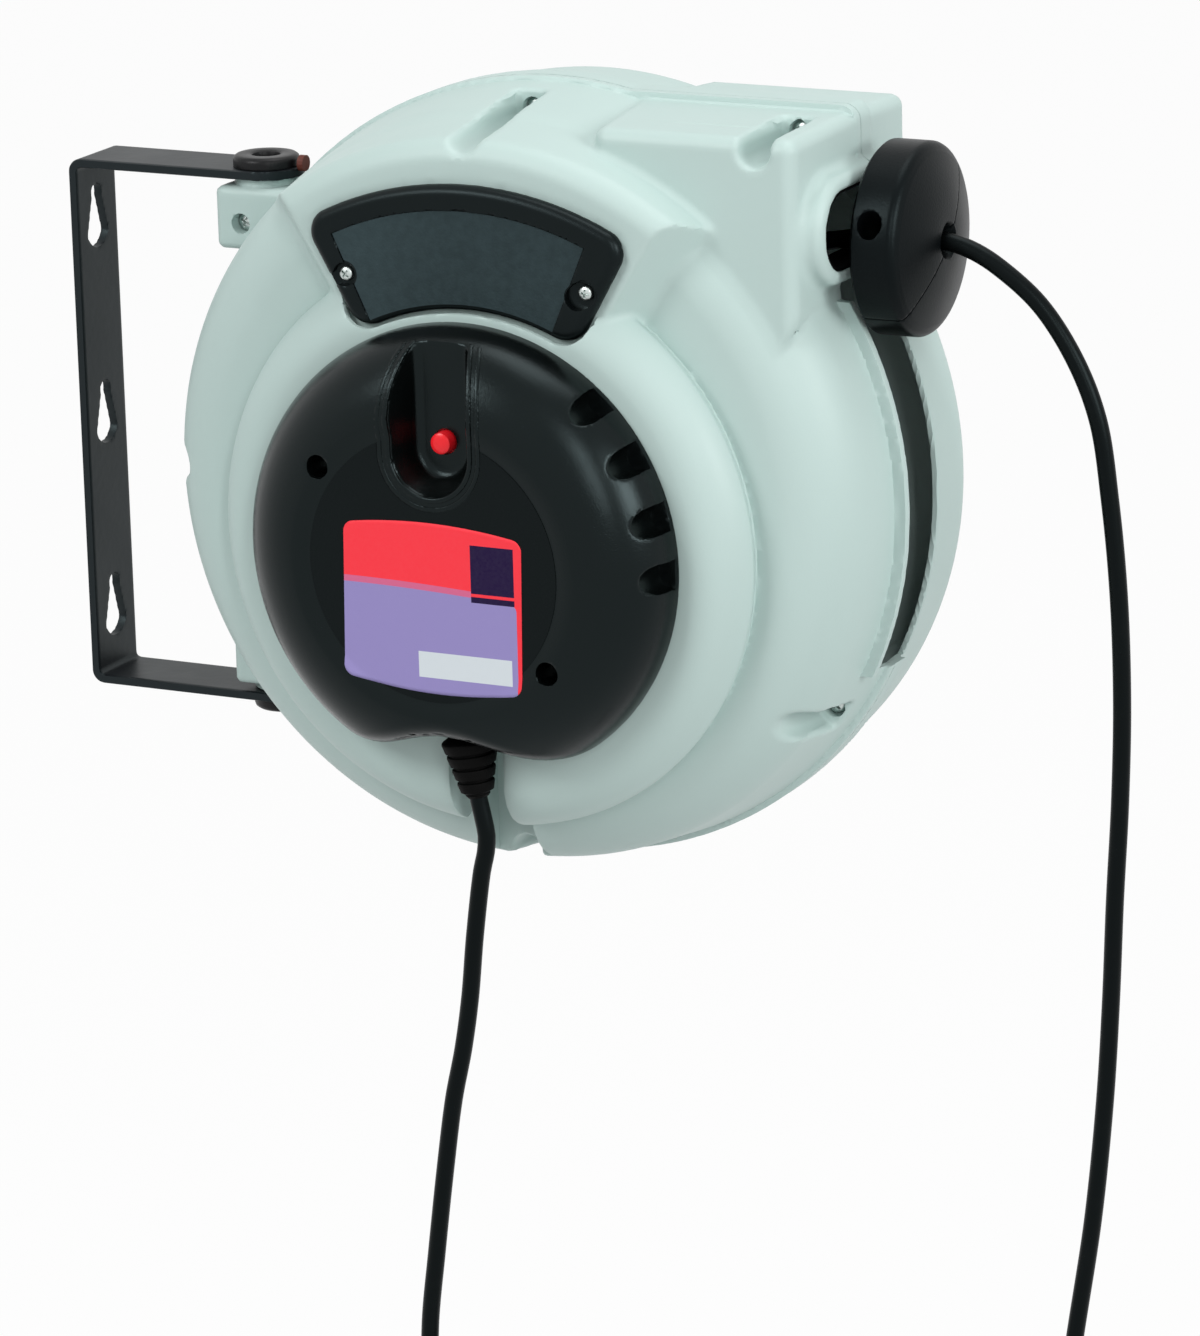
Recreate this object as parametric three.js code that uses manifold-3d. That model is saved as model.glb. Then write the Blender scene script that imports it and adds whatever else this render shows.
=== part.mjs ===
// Wall-mounted spring-rewind extension cord reel.
// Millimetres, +Z up. The wall plate's back face is the plane X = 0, the drum's axis runs along Y,
// the service cover faces -Y and the two casing halves part on the plane Y = 0.
import * as THREE from "three";
import { mergeVertices } from "three/addons/utils/BufferGeometryUtils.js";
import Module from "manifold-3d";

const wasm = await Module();
wasm.setup();

// ---------------------------------------------------------------- driving dimensions
const gap = 0.3; // clearance between touching pieces
const runningGap = 0.6; // clearance where one piece turns or slides in another

const wallToHub = 259; // wall face to the drum's axis
const hubHeight = 30; // drum axis above the part's origin
const casingRise = 17; // centre of the casing's round wall above the drum axis

const rimRadius = 190; // seam rim of both casing halves
const rimStep = 3; // how far the rim stands out of the wall
const casingWall = 3;
const frontRimWidth = 5;
const rearRimWidth = 12;
const frontDepth = 76; // seam to the front annular face
const frontTaper = 0.14; // the wall's slope towards the front
const frontFillet = 30;
const rearDepth = 66;
const rearTaper = 0.07;
const rearFillet = 15;

const ringRadius = 139; // foot of the raised ring round the service cover
const ringDepth = 102; // seam to the ring's top
const hubOpening = 46; // opening in the ring's top for the slip rings

const padAngle = 31.5; // half the angle of the sector that carries the arc panel
const padFlare = 4.5; // the sector's ends lean out by this angle down to the annular face
const padDepth = ringDepth - 8;
const padFillet = 18;

const boxRight = rimRadius - 33.5; // mouth housing: side face from the drum axis
const boxLeft = 45;
const boxTop = rimRadius + 9.5; // above the drum axis
const boxDepth = 69;
const boxRearDepth = 59;
const boxRound = 6;

const mouthRise = boxTop - 48.5; // centre of the mouth above the drum axis
const mouthOffset = -10; // centre of the mouth from the seam, along Y
const mouthHalfLength = 48.5;
const mouthHalfHeight = 21.5;
const mouthWall = 2.5;
const mouthReach = boxRight + 8.5; // crest of the mouth's collar from the drum axis

const slotWidth = 22; // viewing slot down the outlet side, cut from the front half
const slotBottom = -64; // below the drum axis
const slotLip = 5;

const troughRadius = 8; // half-round channels over the casing screws
const troughEnd = -12;
const casingScrewRadius = 2.5;
const screwHeadRadius = 4.6;

const cordChannelHalf = 14.5; // channel that the supply cord leaves through
const cordChannelTop = -76; // below the drum axis

const coverRadius = 109;
const coverFlatRadius = 65;
const coverLip = 3;
const coverHeight = 39;
const coverWall = 3;
const pocketHalf = 20; // recess round the reset button
const pocketLow = 54; // centre of the recess's round lower end above the drum axis
const pocketDepth = 19;
const coverScrewCircle = 73;
const coverScrewAngle = 53;
const coverWellRadius = 5.5;
const scallopRadius = 7; // finger grooves in the cover's side
const scallopReach = 9; // from the cover's edge in to each groove's round end
const scallopAngles = [43, 59.5, 75.5, 90];

const panelInner = 113.5;
const panelOuter = 172.5;
const panelAngle = 29.5;
const panelThickness = 6;
const panelRound = 12;
const panelScrewCircle = 141;
const panelScrewAngle = 26.2;

const stripWidth = 37; // wall bracket: one bent steel strip
const stripThickness = 4.4;
const bracketHeight = 266;
const bracketCentre = 50;
const pivotToWall = 101;
const bendRadius = 7;
const keyholeHeights = [146, 47, -52]; // centres of the round ends
const keyholeRound = 10.5;
const keyholeNeck = 5;
const keyholeRise = 16.5; // neck's centre above the round end's

const pinRadius = 9;
const pinBore = 6.5;
const pinFlangeRadius = 16.3;
const pinFlangeHeight = 5.5;
const pinLength = 14; // into the casing's lug
const bufferReach = 3.4; // rubber buffer at the top arm's end
const lugHalf = 19;
const lugInner = 130;
const lugNeckRadius = 15.5;
const lugHeight = 34;
const lugScrewDrop = 21; // below the lug's end
const lugScrewOffset = -5; // from the swivel axis

const shaftRadius = 8;
const drumRadius = rimRadius - 42; // flanges
const drumCoreRadius = 80;
const drumWall = 3;
const windingWidth = 60;
const drumFrontFace = -41; // inner face of the front flange
const cordChannelDepth = drumWall - drumFrontFace + casingWall + 5;
const cordRadius = 4.3;
const windingLayers = 4;
const windingTurns = 6;
const slipHubRadius = 30;
const ringThickness = 4;
const slipRingRadius = 34;
const springCassetteRadius = 92;
const springDepth = rearDepth - 32;
const springTurns = 6;
const ratchetRadius = 70;
const ratchetTeeth = 12;
const ratchetThickness = 5;

const stopRadius = 45.5;
const stopBand = 19.6;
const stopDome = 11;
const stopBoss = 18;
const stopFace = mouthReach + 5.4; // stop's seat side from the drum axis
const stopRise = mouthRise - 9.6; // stop's centre above the drum axis
const stopSplit = 45; // the halves part on a plane at this angle
const stopScrewOffset = 20;

const supplyExitRise = -85; // top of the strain relief below the drum axis
const supplyDepth = -ringDepth - 10; // strain relief's axis, along Y
const reliefLength = 32;

const facets = 44; // steps round the casing

// ---------------------------------------------------------------- solids and placing
const rad = THREE.MathUtils.degToRad;
const vec = (x, y, z) => new THREE.Vector3(x, y, z);

// A closed three.js geometry as a solid, turned outwards if its faces point in.
function solid(geometry) {
  const bare = geometry.index ? geometry.toNonIndexed() : geometry;
  const shape = new THREE.BufferGeometry();
  shape.setAttribute("position", bare.getAttribute("position"));
  const merged = mergeVertices(shape, 1e-4);
  const points = merged.attributes.position.array;
  const faces = new Uint32Array(merged.index.array);
  let volume = 0;
  for (let i = 0; i < faces.length; i += 3) {
    const [a, b, c] = [0, 1, 2].map((k) => vec(...points.slice(faces[i + k] * 3, faces[i + k] * 3 + 3)));
    volume += a.dot(b.cross(c));
  }
  if (volume < 0) {
    for (let i = 0; i < faces.length; i += 3) [faces[i + 1], faces[i + 2]] = [faces[i + 2], faces[i + 1]];
  }
  return new wasm.Manifold(new wasm.Mesh({ numProp: 3, vertProperties: points, triVerts: faces }));
}

const join = (...parts) => parts.reduce((a, b) => a.add(b));
const cut = (body, ...tools) => tools.reduce((a, b) => a.subtract(b), body);
const move = (body, x, y, z) => body.translate([x, y, z]);

// A solid's vertices and faces back as a geometry.
function geometryOf(body) {
  const mesh = body.getMesh();
  const geometry = new THREE.BufferGeometry();
  geometry.setAttribute("position", new THREE.BufferAttribute(new Float32Array(mesh.vertProperties), 3));
  geometry.setIndex(new THREE.BufferAttribute(new Uint32Array(mesh.triVerts), 1));
  return geometry;
}

// A profile of [radius, y] pairs turned about the Y axis.
function turned(profile, steps = facets) {
  const points = profile.map(([r, y]) => new THREE.Vector2(r, y));
  return solid(new THREE.LatheGeometry(points, steps));
}

// The same about the X axis (profile of [radius, x]) and about the Z axis ([radius, z]).
const turnedX = (profile, steps = 24) => turned(profile, steps).rotate([0, 0, -90]);
const turnedZ = (profile, steps = 24) => turned(profile, steps).rotate([90, 0, 0]);

const rodProfile = (r, a, b) => [[0, a], [r, a], [r, b], [0, b]];
const tubeProfile = (inner, outer, a, b) => [[inner, a], [outer, a], [outer, b], [inner, b], [inner, a]];
const rodY = (r, a, b, steps = 24) => turned(rodProfile(r, a, b), steps);
const rodX = (r, a, b, steps = 24) => turnedX(rodProfile(r, a, b), steps);
const rodZ = (r, a, b, steps = 24) => turnedZ(rodProfile(r, a, b), steps);

function block(x0, x1, y0, y1, z0, z1) {
  const box = new THREE.BoxGeometry(x1 - x0, y1 - y0, z1 - z0);
  box.translate((x0 + x1) / 2, (y0 + y1) / 2, (z0 + z1) / 2);
  return solid(box);
}

// An outline drawn in X and Z, carried from y0 to y1; one in Y and Z carried along X.
function slabY(shape, y0, y1, steps = 5) {
  const geometry = new THREE.ExtrudeGeometry(shape, { depth: y1 - y0, bevelEnabled: false, curveSegments: steps });
  geometry.applyMatrix4(new THREE.Matrix4().set(1, 0, 0, 0, 0, 0, -1, y1, 0, 1, 0, 0, 0, 0, 0, 1));
  return solid(geometry);
}
function slabX(shape, x0, x1, steps = 5) {
  const geometry = new THREE.ExtrudeGeometry(shape, { depth: x1 - x0, bevelEnabled: false, curveSegments: steps });
  geometry.applyMatrix4(new THREE.Matrix4().set(0, 0, 1, x0, 1, 0, 0, 0, 0, 1, 0, 0, 0, 0, 0, 1));
  return solid(geometry);
}

// A skin through rings of equal point counts, closed at both ends by fans.
function skin(rings) {
  const count = rings[0].length;
  const points = rings.flat();
  const faces = [];
  for (let i = 0; i + 1 < rings.length; i += 1) {
    for (let k = 0; k < count; k += 1) {
      const a = i * count + k;
      const b = i * count + ((k + 1) % count);
      faces.push(a, b, b + count, a, b + count, a + count);
    }
  }
  for (const [ring, start, flip] of [[rings[0], 0, true], [rings.at(-1), (rings.length - 1) * count, false]]) {
    const middle = ring.reduce((sum, p) => sum.add(p), vec(0, 0, 0)).divideScalar(count);
    points.push(middle);
    for (let k = 0; k < count; k += 1) {
      const next = start + ((k + 1) % count);
      faces.push(...(flip ? [points.length - 1, next, start + k] : [points.length - 1, start + k, next]));
    }
  }
  const geometry = new THREE.BufferGeometry().setFromPoints(points);
  geometry.setIndex(faces);
  return solid(geometry);
}

// A round section carried along points of one smooth line, each with its own radius.
function hose(points, radii, sides) {
  const tangents = points.map((p, i) => {
    const before = points[Math.max(i - 1, 0)];
    const after = points[Math.min(i + 1, points.length - 1)];
    return after.clone().sub(before).normalize();
  });
  let side = vec(0.3, 0.9, 0.2).cross(tangents[0]).normalize();
  const rings = points.map((p, i) => {
    side = side.clone().addScaledVector(tangents[i], -side.dot(tangents[i])).normalize();
    const other = tangents[i].clone().cross(side);
    const radius = typeof radii === "number" ? radii : radii[i];
    return Array.from({ length: sides }, (_, k) => {
      const turn = (2 * Math.PI * k) / sides;
      return p.clone().addScaledVector(side, radius * Math.cos(turn)).addScaledVector(other, radius * Math.sin(turn));
    });
  });
  return skin(rings);
}

// A straight-ended tube along a smooth route through points chosen by hand.
function cordTube(route, radius, steps, sides = 8) {
  const section = new THREE.Shape();
  section.absarc(0, 0, radius, 0, 2 * Math.PI, false);
  const path = new THREE.CatmullRomCurve3(route, false, "centripetal");
  return new THREE.ExtrudeGeometry(section, { steps, extrudePath: path, curveSegments: sides / 2, bevelEnabled: false });
}

// Points round a circle's arc, angles in degrees from +Z towards +X.
function arcPoints(cx, cz, r, from, to, steps) {
  return Array.from({ length: steps + 1 }, (_, i) => {
    const turn = rad(from + ((to - from) * i) / steps);
    return [cx + r * Math.sin(turn), cz + r * Math.cos(turn)];
  });
}

// Part of a ring between two radii and two angles, with rounded corners.
function sectorShape(inner, outer, half, round, steps = 4) {
  const points = [];
  const corner = (r, sign, inwards, order) => {
    const middle = r + (inwards ? -round : round);
    const turn = half - THREE.MathUtils.radToDeg(Math.asin(round / middle));
    const [cx, cz] = arcPoints(0, 0, middle, sign * turn, sign * turn, 1)[0];
    const spread = Array.from({ length: steps + 1 }, (_, i) => (90 * i) / steps);
    const out = spread.map((a) => arcPoints(cx, cz, round, 0, 0, 1) && [a]);
    const made = out.map(([a]) => {
      const start = inwards ? sign * turn : sign * turn + 180;
      const swing = inwards ? sign * a : -sign * a;
      return arcPoints(cx, cz, round, start + swing, start + swing, 1)[0];
    });
    return order < 0 ? made.reverse() : made;
  };
  points.push(...corner(outer, 1, true, 1), ...corner(inner, 1, false, -1));
  points.push(...arcPoints(0, 0, inner, half * 0.7, -half * 0.7, 8));
  points.push(...corner(inner, -1, false, 1), ...corner(outer, -1, true, -1));
  points.push(...arcPoints(0, 0, outer, -half * 0.7, half * 0.7, 8));
  return new THREE.Shape(points.map(([x, z]) => new THREE.Vector2(x, z)));
}

// An upright or level slot: two half circles and the straight sides between them.
function stadium(cu, cv, halfLength, halfHeight, steps = 10) {
  const shape = new THREE.Shape();
  const reach = halfLength - halfHeight;
  shape.absarc(cu + reach, cv, halfHeight, -Math.PI / 2, Math.PI / 2, false);
  shape.absarc(cu - reach, cv, halfHeight, Math.PI / 2, (3 * Math.PI) / 2, false);
  shape.closePath();
  return shape;
}

// ---------------------------------------------------------------- shared places
const casingHeight = hubHeight + casingRise;
const atHub = (body) => move(body, wallToHub, 0, hubHeight);
const atCasing = (body) => move(body, wallToHub, 0, casingHeight);
const polar = (r, angle) => [wallToHub + r * Math.sin(rad(angle)), hubHeight + r * Math.cos(rad(angle))];

const wallRadius = rimRadius - rimStep;
const seam = gap / 2;

// Wall radius of the front half at a depth in front of the seam.
const frontWallAt = (depth) => wallRadius - frontTaper * (depth - frontRimWidth);

// Profile of a tapered bowl with a rounded shoulder, from the seam to its face.
function bowlProfile(depth, taper, fillet, direction, inset, rimWidth) {
  const start = wallRadius - inset;
  const lean = Math.atan(taper);
  const face = depth - inset;
  const round = Math.max(fillet - inset, 3);
  const tangent = face - round + round * Math.sin(lean);
  const atTangent = start - taper * (tangent - rimWidth);
  const centre = atTangent - round * Math.cos(lean);
  const foot = inset ? -1 : seam; // a hollow runs on through the seam
  const profile = [[0, direction * foot], [start, direction * foot], [start, direction * rimWidth]];
  for (let i = 0; i <= 4; i += 1) {
    const turn = lean + ((Math.PI / 2 - lean) * i) / 4;
    profile.push([centre + round * Math.cos(turn), direction * (face - round + round * Math.sin(turn))]);
  }
  profile.push([0, direction * face]);
  return profile;
}
const bowl = (depth, taper, fillet, direction, inset, rimWidth) =>
  atCasing(turned(bowlProfile(depth, taper, fillet, direction, inset, rimWidth), inset ? facets / 2 : facets));

// Screw places on the casing: [x, z] of each screw's axis.
const screwRing = rimRadius - 12;
const casingScrews = [
  [wallToHub + (screwRing - 1) * Math.sin(rad(-1)), casingHeight + (screwRing - 1) * Math.cos(rad(-1))],
  [wallToHub + boxRight - 22, hubHeight + boxTop - 8],
  [wallToHub + screwRing * Math.sin(rad(124)), casingHeight + screwRing * Math.cos(rad(124))],
  [wallToHub, casingHeight - screwRing],
  [wallToHub - screwRing, casingHeight],
];

const bracketTop = bracketCentre + bracketHeight / 2;
const bracketBottom = bracketCentre - bracketHeight / 2;
// Lug ends under the top arm and over the bottom arm.
const topLugEnd = bracketTop - stripThickness - gap;
const bottomLugEnd = bracketBottom + stripThickness + gap;

// ---------------------------------------------------------------- casing halves
// Mouth housing: a rounded block, drawn in a little at its front or rear face.
function mouthHousing(direction, inset) {
  const depth = (direction < 0 ? boxDepth : boxRearDepth) - inset;
  const draft = 2.5;
  const rings = [[inset ? -1 : seam, 0], [depth - boxRound, draft], [depth - boxRound * 0.3, draft + 1.8], [depth, draft + boxRound]];
  return skin(
    rings.map(([y, shrink]) => {
      const right = wallToHub + boxRight + 0.3 - inset - shrink;
      const top = hubHeight + boxTop - inset - shrink;
      const left = wallToHub + boxLeft + inset + (8 * y) / depth;
      const low = hubHeight + 60;
      const round = Math.max(boxRound - inset, 2);
      const corner = arcPoints(right - round, top - round, round, 0, 90, 4);
      const ring = [[left, low], [left, top], ...corner, [right, hubHeight + 115], [right - 36, low]];
      return ring.map(([x, z]) => vec(x, direction * y, z));
    }),
  );
}

// Raised rim along the seam: round the bowl, and square over the mouth housing.
function seamRim(direction, width) {
  const band = atCasing(turned(rodProfile(rimRadius, direction * seam, direction * width)));
  const [x0, x1] = [wallToHub + boxLeft - 4, wallToHub + boxRight + 1];
  const [low, top] = [hubHeight + 100, hubHeight + boxTop + rimStep];
  const corner = arcPoints(x1 - 8, top - 8, 8, 0, 90, 4);
  const outline = [[x0, low], [x0, top], ...corner, [x1, low]].map(([x, z]) => new THREE.Vector2(x, z));
  const ends = [direction * seam, direction * width].sort((a, b) => a - b);
  return join(band, slabY(new THREE.Shape(outline), ...ends));
}

function ringProfile(inset) {
  const top = ringDepth - inset;
  const outer = ringRadius - inset;
  return [
    [0, -seam - frontDepth + 12],
    [outer, -seam - frontDepth + 12],
    [outer, -frontDepth - 2],
    [outer - 3, -top + 14],
    [outer - 9, -top + 6],
    [outer - 18, -top + 1.6],
    [outer - 28, -top],
    [0, -top],
  ];
}

// The sector pad under the arc panel: its ends lean outwards down to the annular face.
function padSector(inset) {
  const trim = THREE.MathUtils.radToDeg(inset / 135);
  const outline = (half, y) => [
    ...arcPoints(wallToHub, hubHeight, 96 + inset, half - trim, trim - half, 6),
    ...arcPoints(wallToHub, hubHeight, 225, trim - half, half - trim, 10),
  ].map(([x, z]) => vec(x, y, z));
  return skin([
    outline(padAngle + padFlare * 1.6, -frontDepth + 14),
    outline(padAngle + padFlare, -frontDepth),
    outline(padAngle, -padDepth - 12),
  ]);
}
const padBody = (inset) =>
  bowl(padDepth, frontTaper, padFillet, -1, inset, frontRimWidth).intersect(padSector(inset));

function mouthCollar(direction) {
  const span = direction < 0 ? [-200, 1] : [-1, 200];
  const outer = slabX(stadium(mouthOffset, hubHeight + mouthRise, mouthHalfLength, mouthHalfHeight),
    wallToHub + boxRight - 8, wallToHub + mouthReach);
  return outer.intersect(block(0, 600, span[0], span[1], 0, 400));
}
const mouthHole = () =>
  slabX(stadium(mouthOffset, hubHeight + mouthRise, mouthHalfLength - mouthWall, mouthHalfHeight - mouthWall),
    wallToHub + boxRight - 11, wallToHub + mouthReach + 5);

// Room beside the mouth for the stop, which hangs close to the seam rim.
const stopClearance = () =>
  rodX(stopRadius + 1, stopFace + wallToHub - 0.8, stopFace + wallToHub + 20, 24).translate([0, 0, hubHeight + stopRise]);

// Half of a swivel lug: a block beside the casing and a round neck that meets the arm.
function lugHalfSolid(direction, isTop) {
  const end = isTop ? topLugEnd : bottomLugEnd;
  const turn = isTop ? -1 : 1;
  const shoulder = end + turn * 3.5;
  const far = end + turn * lugHeight;
  const low = Math.min(shoulder, far);
  const high = Math.max(shoulder, far);
  const ys = direction < 0 ? [-lugHalf, 1] : [-1, lugHalf];
  const body = block(pivotToWall - lugHalf, lugInner, ys[0], ys[1], low, high);
  const neck = rodZ(lugNeckRadius, Math.min(end, far), Math.max(end, far), 24);
  const placedNeck = move(neck, pivotToWall, 0, 0).intersect(block(0, 400, ys[0], ys[1], -300, 400));
  return cut(join(body, placedNeck), atHub(rodY(drumRadius + 5, -60, 60, facets / 2)));
}

function armClearance() {
  const reach = pivotToWall + stripWidth / 2 + bufferReach + gap;
  return [
    block(0, reach, -80, 80, topLugEnd, topLugEnd + 40),
    block(0, reach, -80, 80, bottomLugEnd - 40, bottomLugEnd),
  ];
}

const pinHole = (isTop) => {
  const end = isTop ? topLugEnd : bottomLugEnd;
  const inner = end + (isTop ? -1 : 1) * (pinLength + 1);
  return move(rodZ(pinRadius + gap, Math.min(end, inner) - 0.5, Math.max(end, inner) + 0.5, 16), pivotToWall, 0, 0);
};

const lugScrewPlace = (isTop) => [
  pivotToWall + lugScrewOffset,
  isTop ? topLugEnd - lugScrewDrop : bottomLugEnd + lugScrewDrop,
];

function screwColumns(direction) {
  const depth = direction < 0 ? frontDepth + 2 : rearDepth - 2;
  return casingScrews.map(([x, z]) => {
    const a = direction < 0 ? -depth : seam;
    const b = direction < 0 ? -seam : depth;
    return move(rodY(troughRadius + casingWall, a, b, 8), x, 0, z);
  });
}

function cordChannelBlock(halfWidth, y0, y1) {
  return block(wallToHub - halfWidth, wallToHub + halfWidth, y0, y1, hubHeight - 200, hubHeight + cordChannelTop + (halfWidth - cordChannelHalf));
}

function frontCasing() {
  const outer = join(
    bowl(frontDepth, frontTaper, frontFillet, -1, 0, frontRimWidth),
    atHub(turned(ringProfile(0))),
    padBody(0),
    mouthHousing(-1, 0),
  );
  const inner = join(
    bowl(frontDepth, frontTaper, frontFillet, -1, casingWall, frontRimWidth),
    atHub(turned(ringProfile(casingWall), facets / 2)),
    padBody(casingWall),
    mouthHousing(-1, casingWall),
  );
  const columns = join(...screwColumns(-1)).intersect(outer);
  const channelSkin = cordChannelBlock(cordChannelHalf + casingWall, -ringDepth, -cordChannelDepth + casingWall)
    .intersect(outer);
  const slotSpan = block(wallToHub + 60, wallToHub + 220, -slotWidth, 1, hubHeight + slotBottom, hubHeight + mouthRise - 12);
  const slotBand = atCasing(turned(rodProfile(rimRadius, -slotWidth - slotLip, -slotWidth + 1)))
    .intersect(block(wallToHub + 60, wallToHub + 220, -slotWidth - slotLip, -slotWidth,
      hubHeight + slotBottom, hubHeight + mouthRise - 36));
  let body = join(outer, seamRim(-1, frontRimWidth), slotBand);
  body = cut(body, inner);
  body = join(body, columns, channelSkin, mouthCollar(-1));
  body = join(body, lugHalfSolid(-1, true), lugHalfSolid(-1, false));
  const [postX, postZ] = polarHub(...pawlPivot);
  const post = move(rodY(6, -ringDepth + 1, pawlPost, 10), wallToHub + postX, 0, hubHeight + postZ);
  body = join(body, post);
  const troughs = casingScrews.map(([x, z]) => move(rodY(troughRadius, -140, troughEnd, 12), x, 0, z));
  const holes = casingScrews.map(([x, z]) => move(rodY(casingScrewRadius + 0.4, -40, 5, 8), x, 0, z));
  const seatFloor = atHub(slabY(sectorShape(panelInner - 4, panelOuter + 4, panelAngle + 2, panelRound + 4), -padDepth, -padDepth + casingWall));
  body = join(body, seatFloor.intersect(outer));
  const panelSeat = atHub(slabY(sectorShape(panelInner - 1, panelOuter + 1, panelAngle + 0.6, panelRound + 1), -130, -padDepth));
  const lugHoles = [true, false].map((isTop) => {
    const [x, z] = lugScrewPlace(isTop);
    return join(move(rodY(screwHeadRadius + 0.4, -60, -lugHalf + 8, 12), x, 0, z), move(rodY(2.4, -60, 5, 8), x, 0, z));
  });
  body = cut(
    body,
    ...troughs,
    ...holes,
    panelSeat,
    cordChannelBlock(cordChannelHalf, -160, -cordChannelDepth),
    slotSpan,
    mouthHole(),
    stopClearance(),
    atHub(rodY(hubOpening, -ringDepth - 5, -ringDepth + 12, 28)),
    ...armClearance(),
    pinHole(true),
    pinHole(false),
    ...lugHoles,
    ...frontScrewHoles(),
    move(rodY(3.2 + gap, pawlPost - 18, 0, 8), wallToHub + postX, 0, hubHeight + postZ),
  );
  return body.intersect(block(-50, 700, -200, -seam, -300, 400));
}

const coverScrewPlaces = () => [-coverScrewAngle, 180 - coverScrewAngle].map((a) => polar(coverScrewCircle, a));
const panelScrewPlaces = () => [-panelScrewAngle, panelScrewAngle].map((a) => polar(panelScrewCircle, a));

// Pilot holes for the cover's and the arc panel's screws.
function frontScrewHoles() {
  return [
    ...coverScrewPlaces().map(([x, z]) => move(rodY(1.9, -ringDepth - 2, -ringDepth + 20, 10), x, 0, z)),
    ...panelScrewPlaces().map(([x, z]) => move(rodY(1.9, -padDepth - 2, -padDepth + 20, 10), x, 0, z)),
  ];
}

function rearCasing() {
  const outer = join(bowl(rearDepth, rearTaper, rearFillet, 1, 0, rearRimWidth), mouthHousing(1, 0));
  const inner = join(
    bowl(rearDepth, rearTaper, rearFillet, 1, casingWall, rearRimWidth),
    mouthHousing(1, casingWall),
  );
  const columns = join(...screwColumns(1)).intersect(outer);
  const hubBoss = atHub(turned([[0, rearDepth - 14], [16, rearDepth - 14], [16, rearDepth - 3], [34, rearDepth - 3],
    [34, rearDepth + 3], [30, rearDepth + 5], [0, rearDepth + 5]], 24));
  let body = cut(join(outer, seamRim(1, rearRimWidth)), inner);
  body = join(body, columns, mouthCollar(1), hubBoss, ...rearRibs());
  body = join(body, lugHalfSolid(1, true), lugHalfSolid(1, false));
  const pilots = casingScrews.map(([x, z]) => move(rodY(casingScrewRadius + 0.1, -5, 34, 8), x, 0, z));
  const lugPilots = [true, false].map((isTop) => {
    const [x, z] = lugScrewPlace(isTop);
    return move(rodY(2.1, -5, lugHalf - 3, 8), x, 0, z);
  });
  body = cut(
    body,
    ...pilots,
    ...lugPilots,
    mouthHole(),
    stopClearance(),
    atHub(rodY(shaftRadius + gap, rearDepth - 20, rearDepth + 2.2, 16)),
    ...armClearance(),
    pinHole(true),
    pinHole(false),
  );
  return body.intersect(block(-50, 700, seam, 200, -300, 400));
}

// Low stiffening ribs that run out from the rear hub.
function rearRibs() {
  return Array.from({ length: 6 }, (_, i) => {
    const rib = block(-2, 2, rearDepth - casingWall - 2, rearDepth - casingWall + 1, 33, 128);
    return atHub(rib.rotate([0, 30 + 60 * i, 0]));
  });
}

// ---------------------------------------------------------------- wall bracket and swivel
function wallBracket() {
  const strip = (inset) => {
    const round = bendRadius - inset;
    const low = bracketBottom + inset;
    const high = bracketTop - inset;
    return [
      ...arcPoints(inset + round, low + round, round, 180, 270, 5),
      ...arcPoints(inset + round, high - round, round, 270, 360, 5),
    ];
  };
  const outline = [
    ...strip(0),
    [pivotToWall, bracketTop],
    [pivotToWall, bracketTop - stripThickness],
    ...strip(stripThickness).reverse(),
    [pivotToWall, bracketBottom + stripThickness],
    [pivotToWall, bracketBottom],
  ];
  const shape = new THREE.Shape(outline.map(([x, z]) => new THREE.Vector2(x, z)));
  const strap = slabY(shape, -stripWidth / 2, stripWidth / 2);
  const tips = [bracketTop - stripThickness, bracketBottom].map((z) =>
    move(rodZ(stripWidth / 2, z, z + stripThickness, 28), pivotToWall, 0, 0));
  const bores = move(rodZ(pinRadius + gap, bracketBottom - 5, bracketTop + 5, 18), pivotToWall, 0, 0);
  const keyholes = keyholeHeights.map((z) =>
    join(
      move(rodX(keyholeRound, -1, stripThickness + 1, 20), 0, 0, z),
      move(rodX(keyholeNeck, -1, stripThickness + 1, 14), 0, 0, z + keyholeRise),
      block(-1, stripThickness + 1, -keyholeNeck, keyholeNeck, z + 6, z + keyholeRise),
    ));
  return cut(join(strap, ...tips), bores, ...keyholes);
}

// Hollow flanged pin: its flange lies on the arm and its shank turns in the casing's lug.
function swivelPin(isTop) {
  const arm = isTop ? bracketTop : bracketBottom;
  const turn = isTop ? 1 : -1;
  const flange = arm + turn * gap;
  const head = flange + turn * pinFlangeHeight;
  const foot = (isTop ? topLugEnd : bottomLugEnd) - turn * pinLength;
  const profile = [
    [pinBore, foot], [pinRadius, foot], [pinRadius, flange], [pinFlangeRadius, flange],
    [pinFlangeRadius, head - turn * 1.8], [pinFlangeRadius - 2, head], [pinBore + 1.5, head],
    [pinBore, head - turn * 2], [pinBore, foot],
  ];
  return move(turnedZ(profile, 18), pivotToWall, 0, 0);
}

// Rubber buffer on the rounded end of the top arm.
function swivelBuffer() {
  const x = pivotToWall + stripWidth / 2 + gap;
  return move(rodX(4, x, x + bufferReach - gap, 16), 0, 0, bracketTop + 2.2);
}

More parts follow.
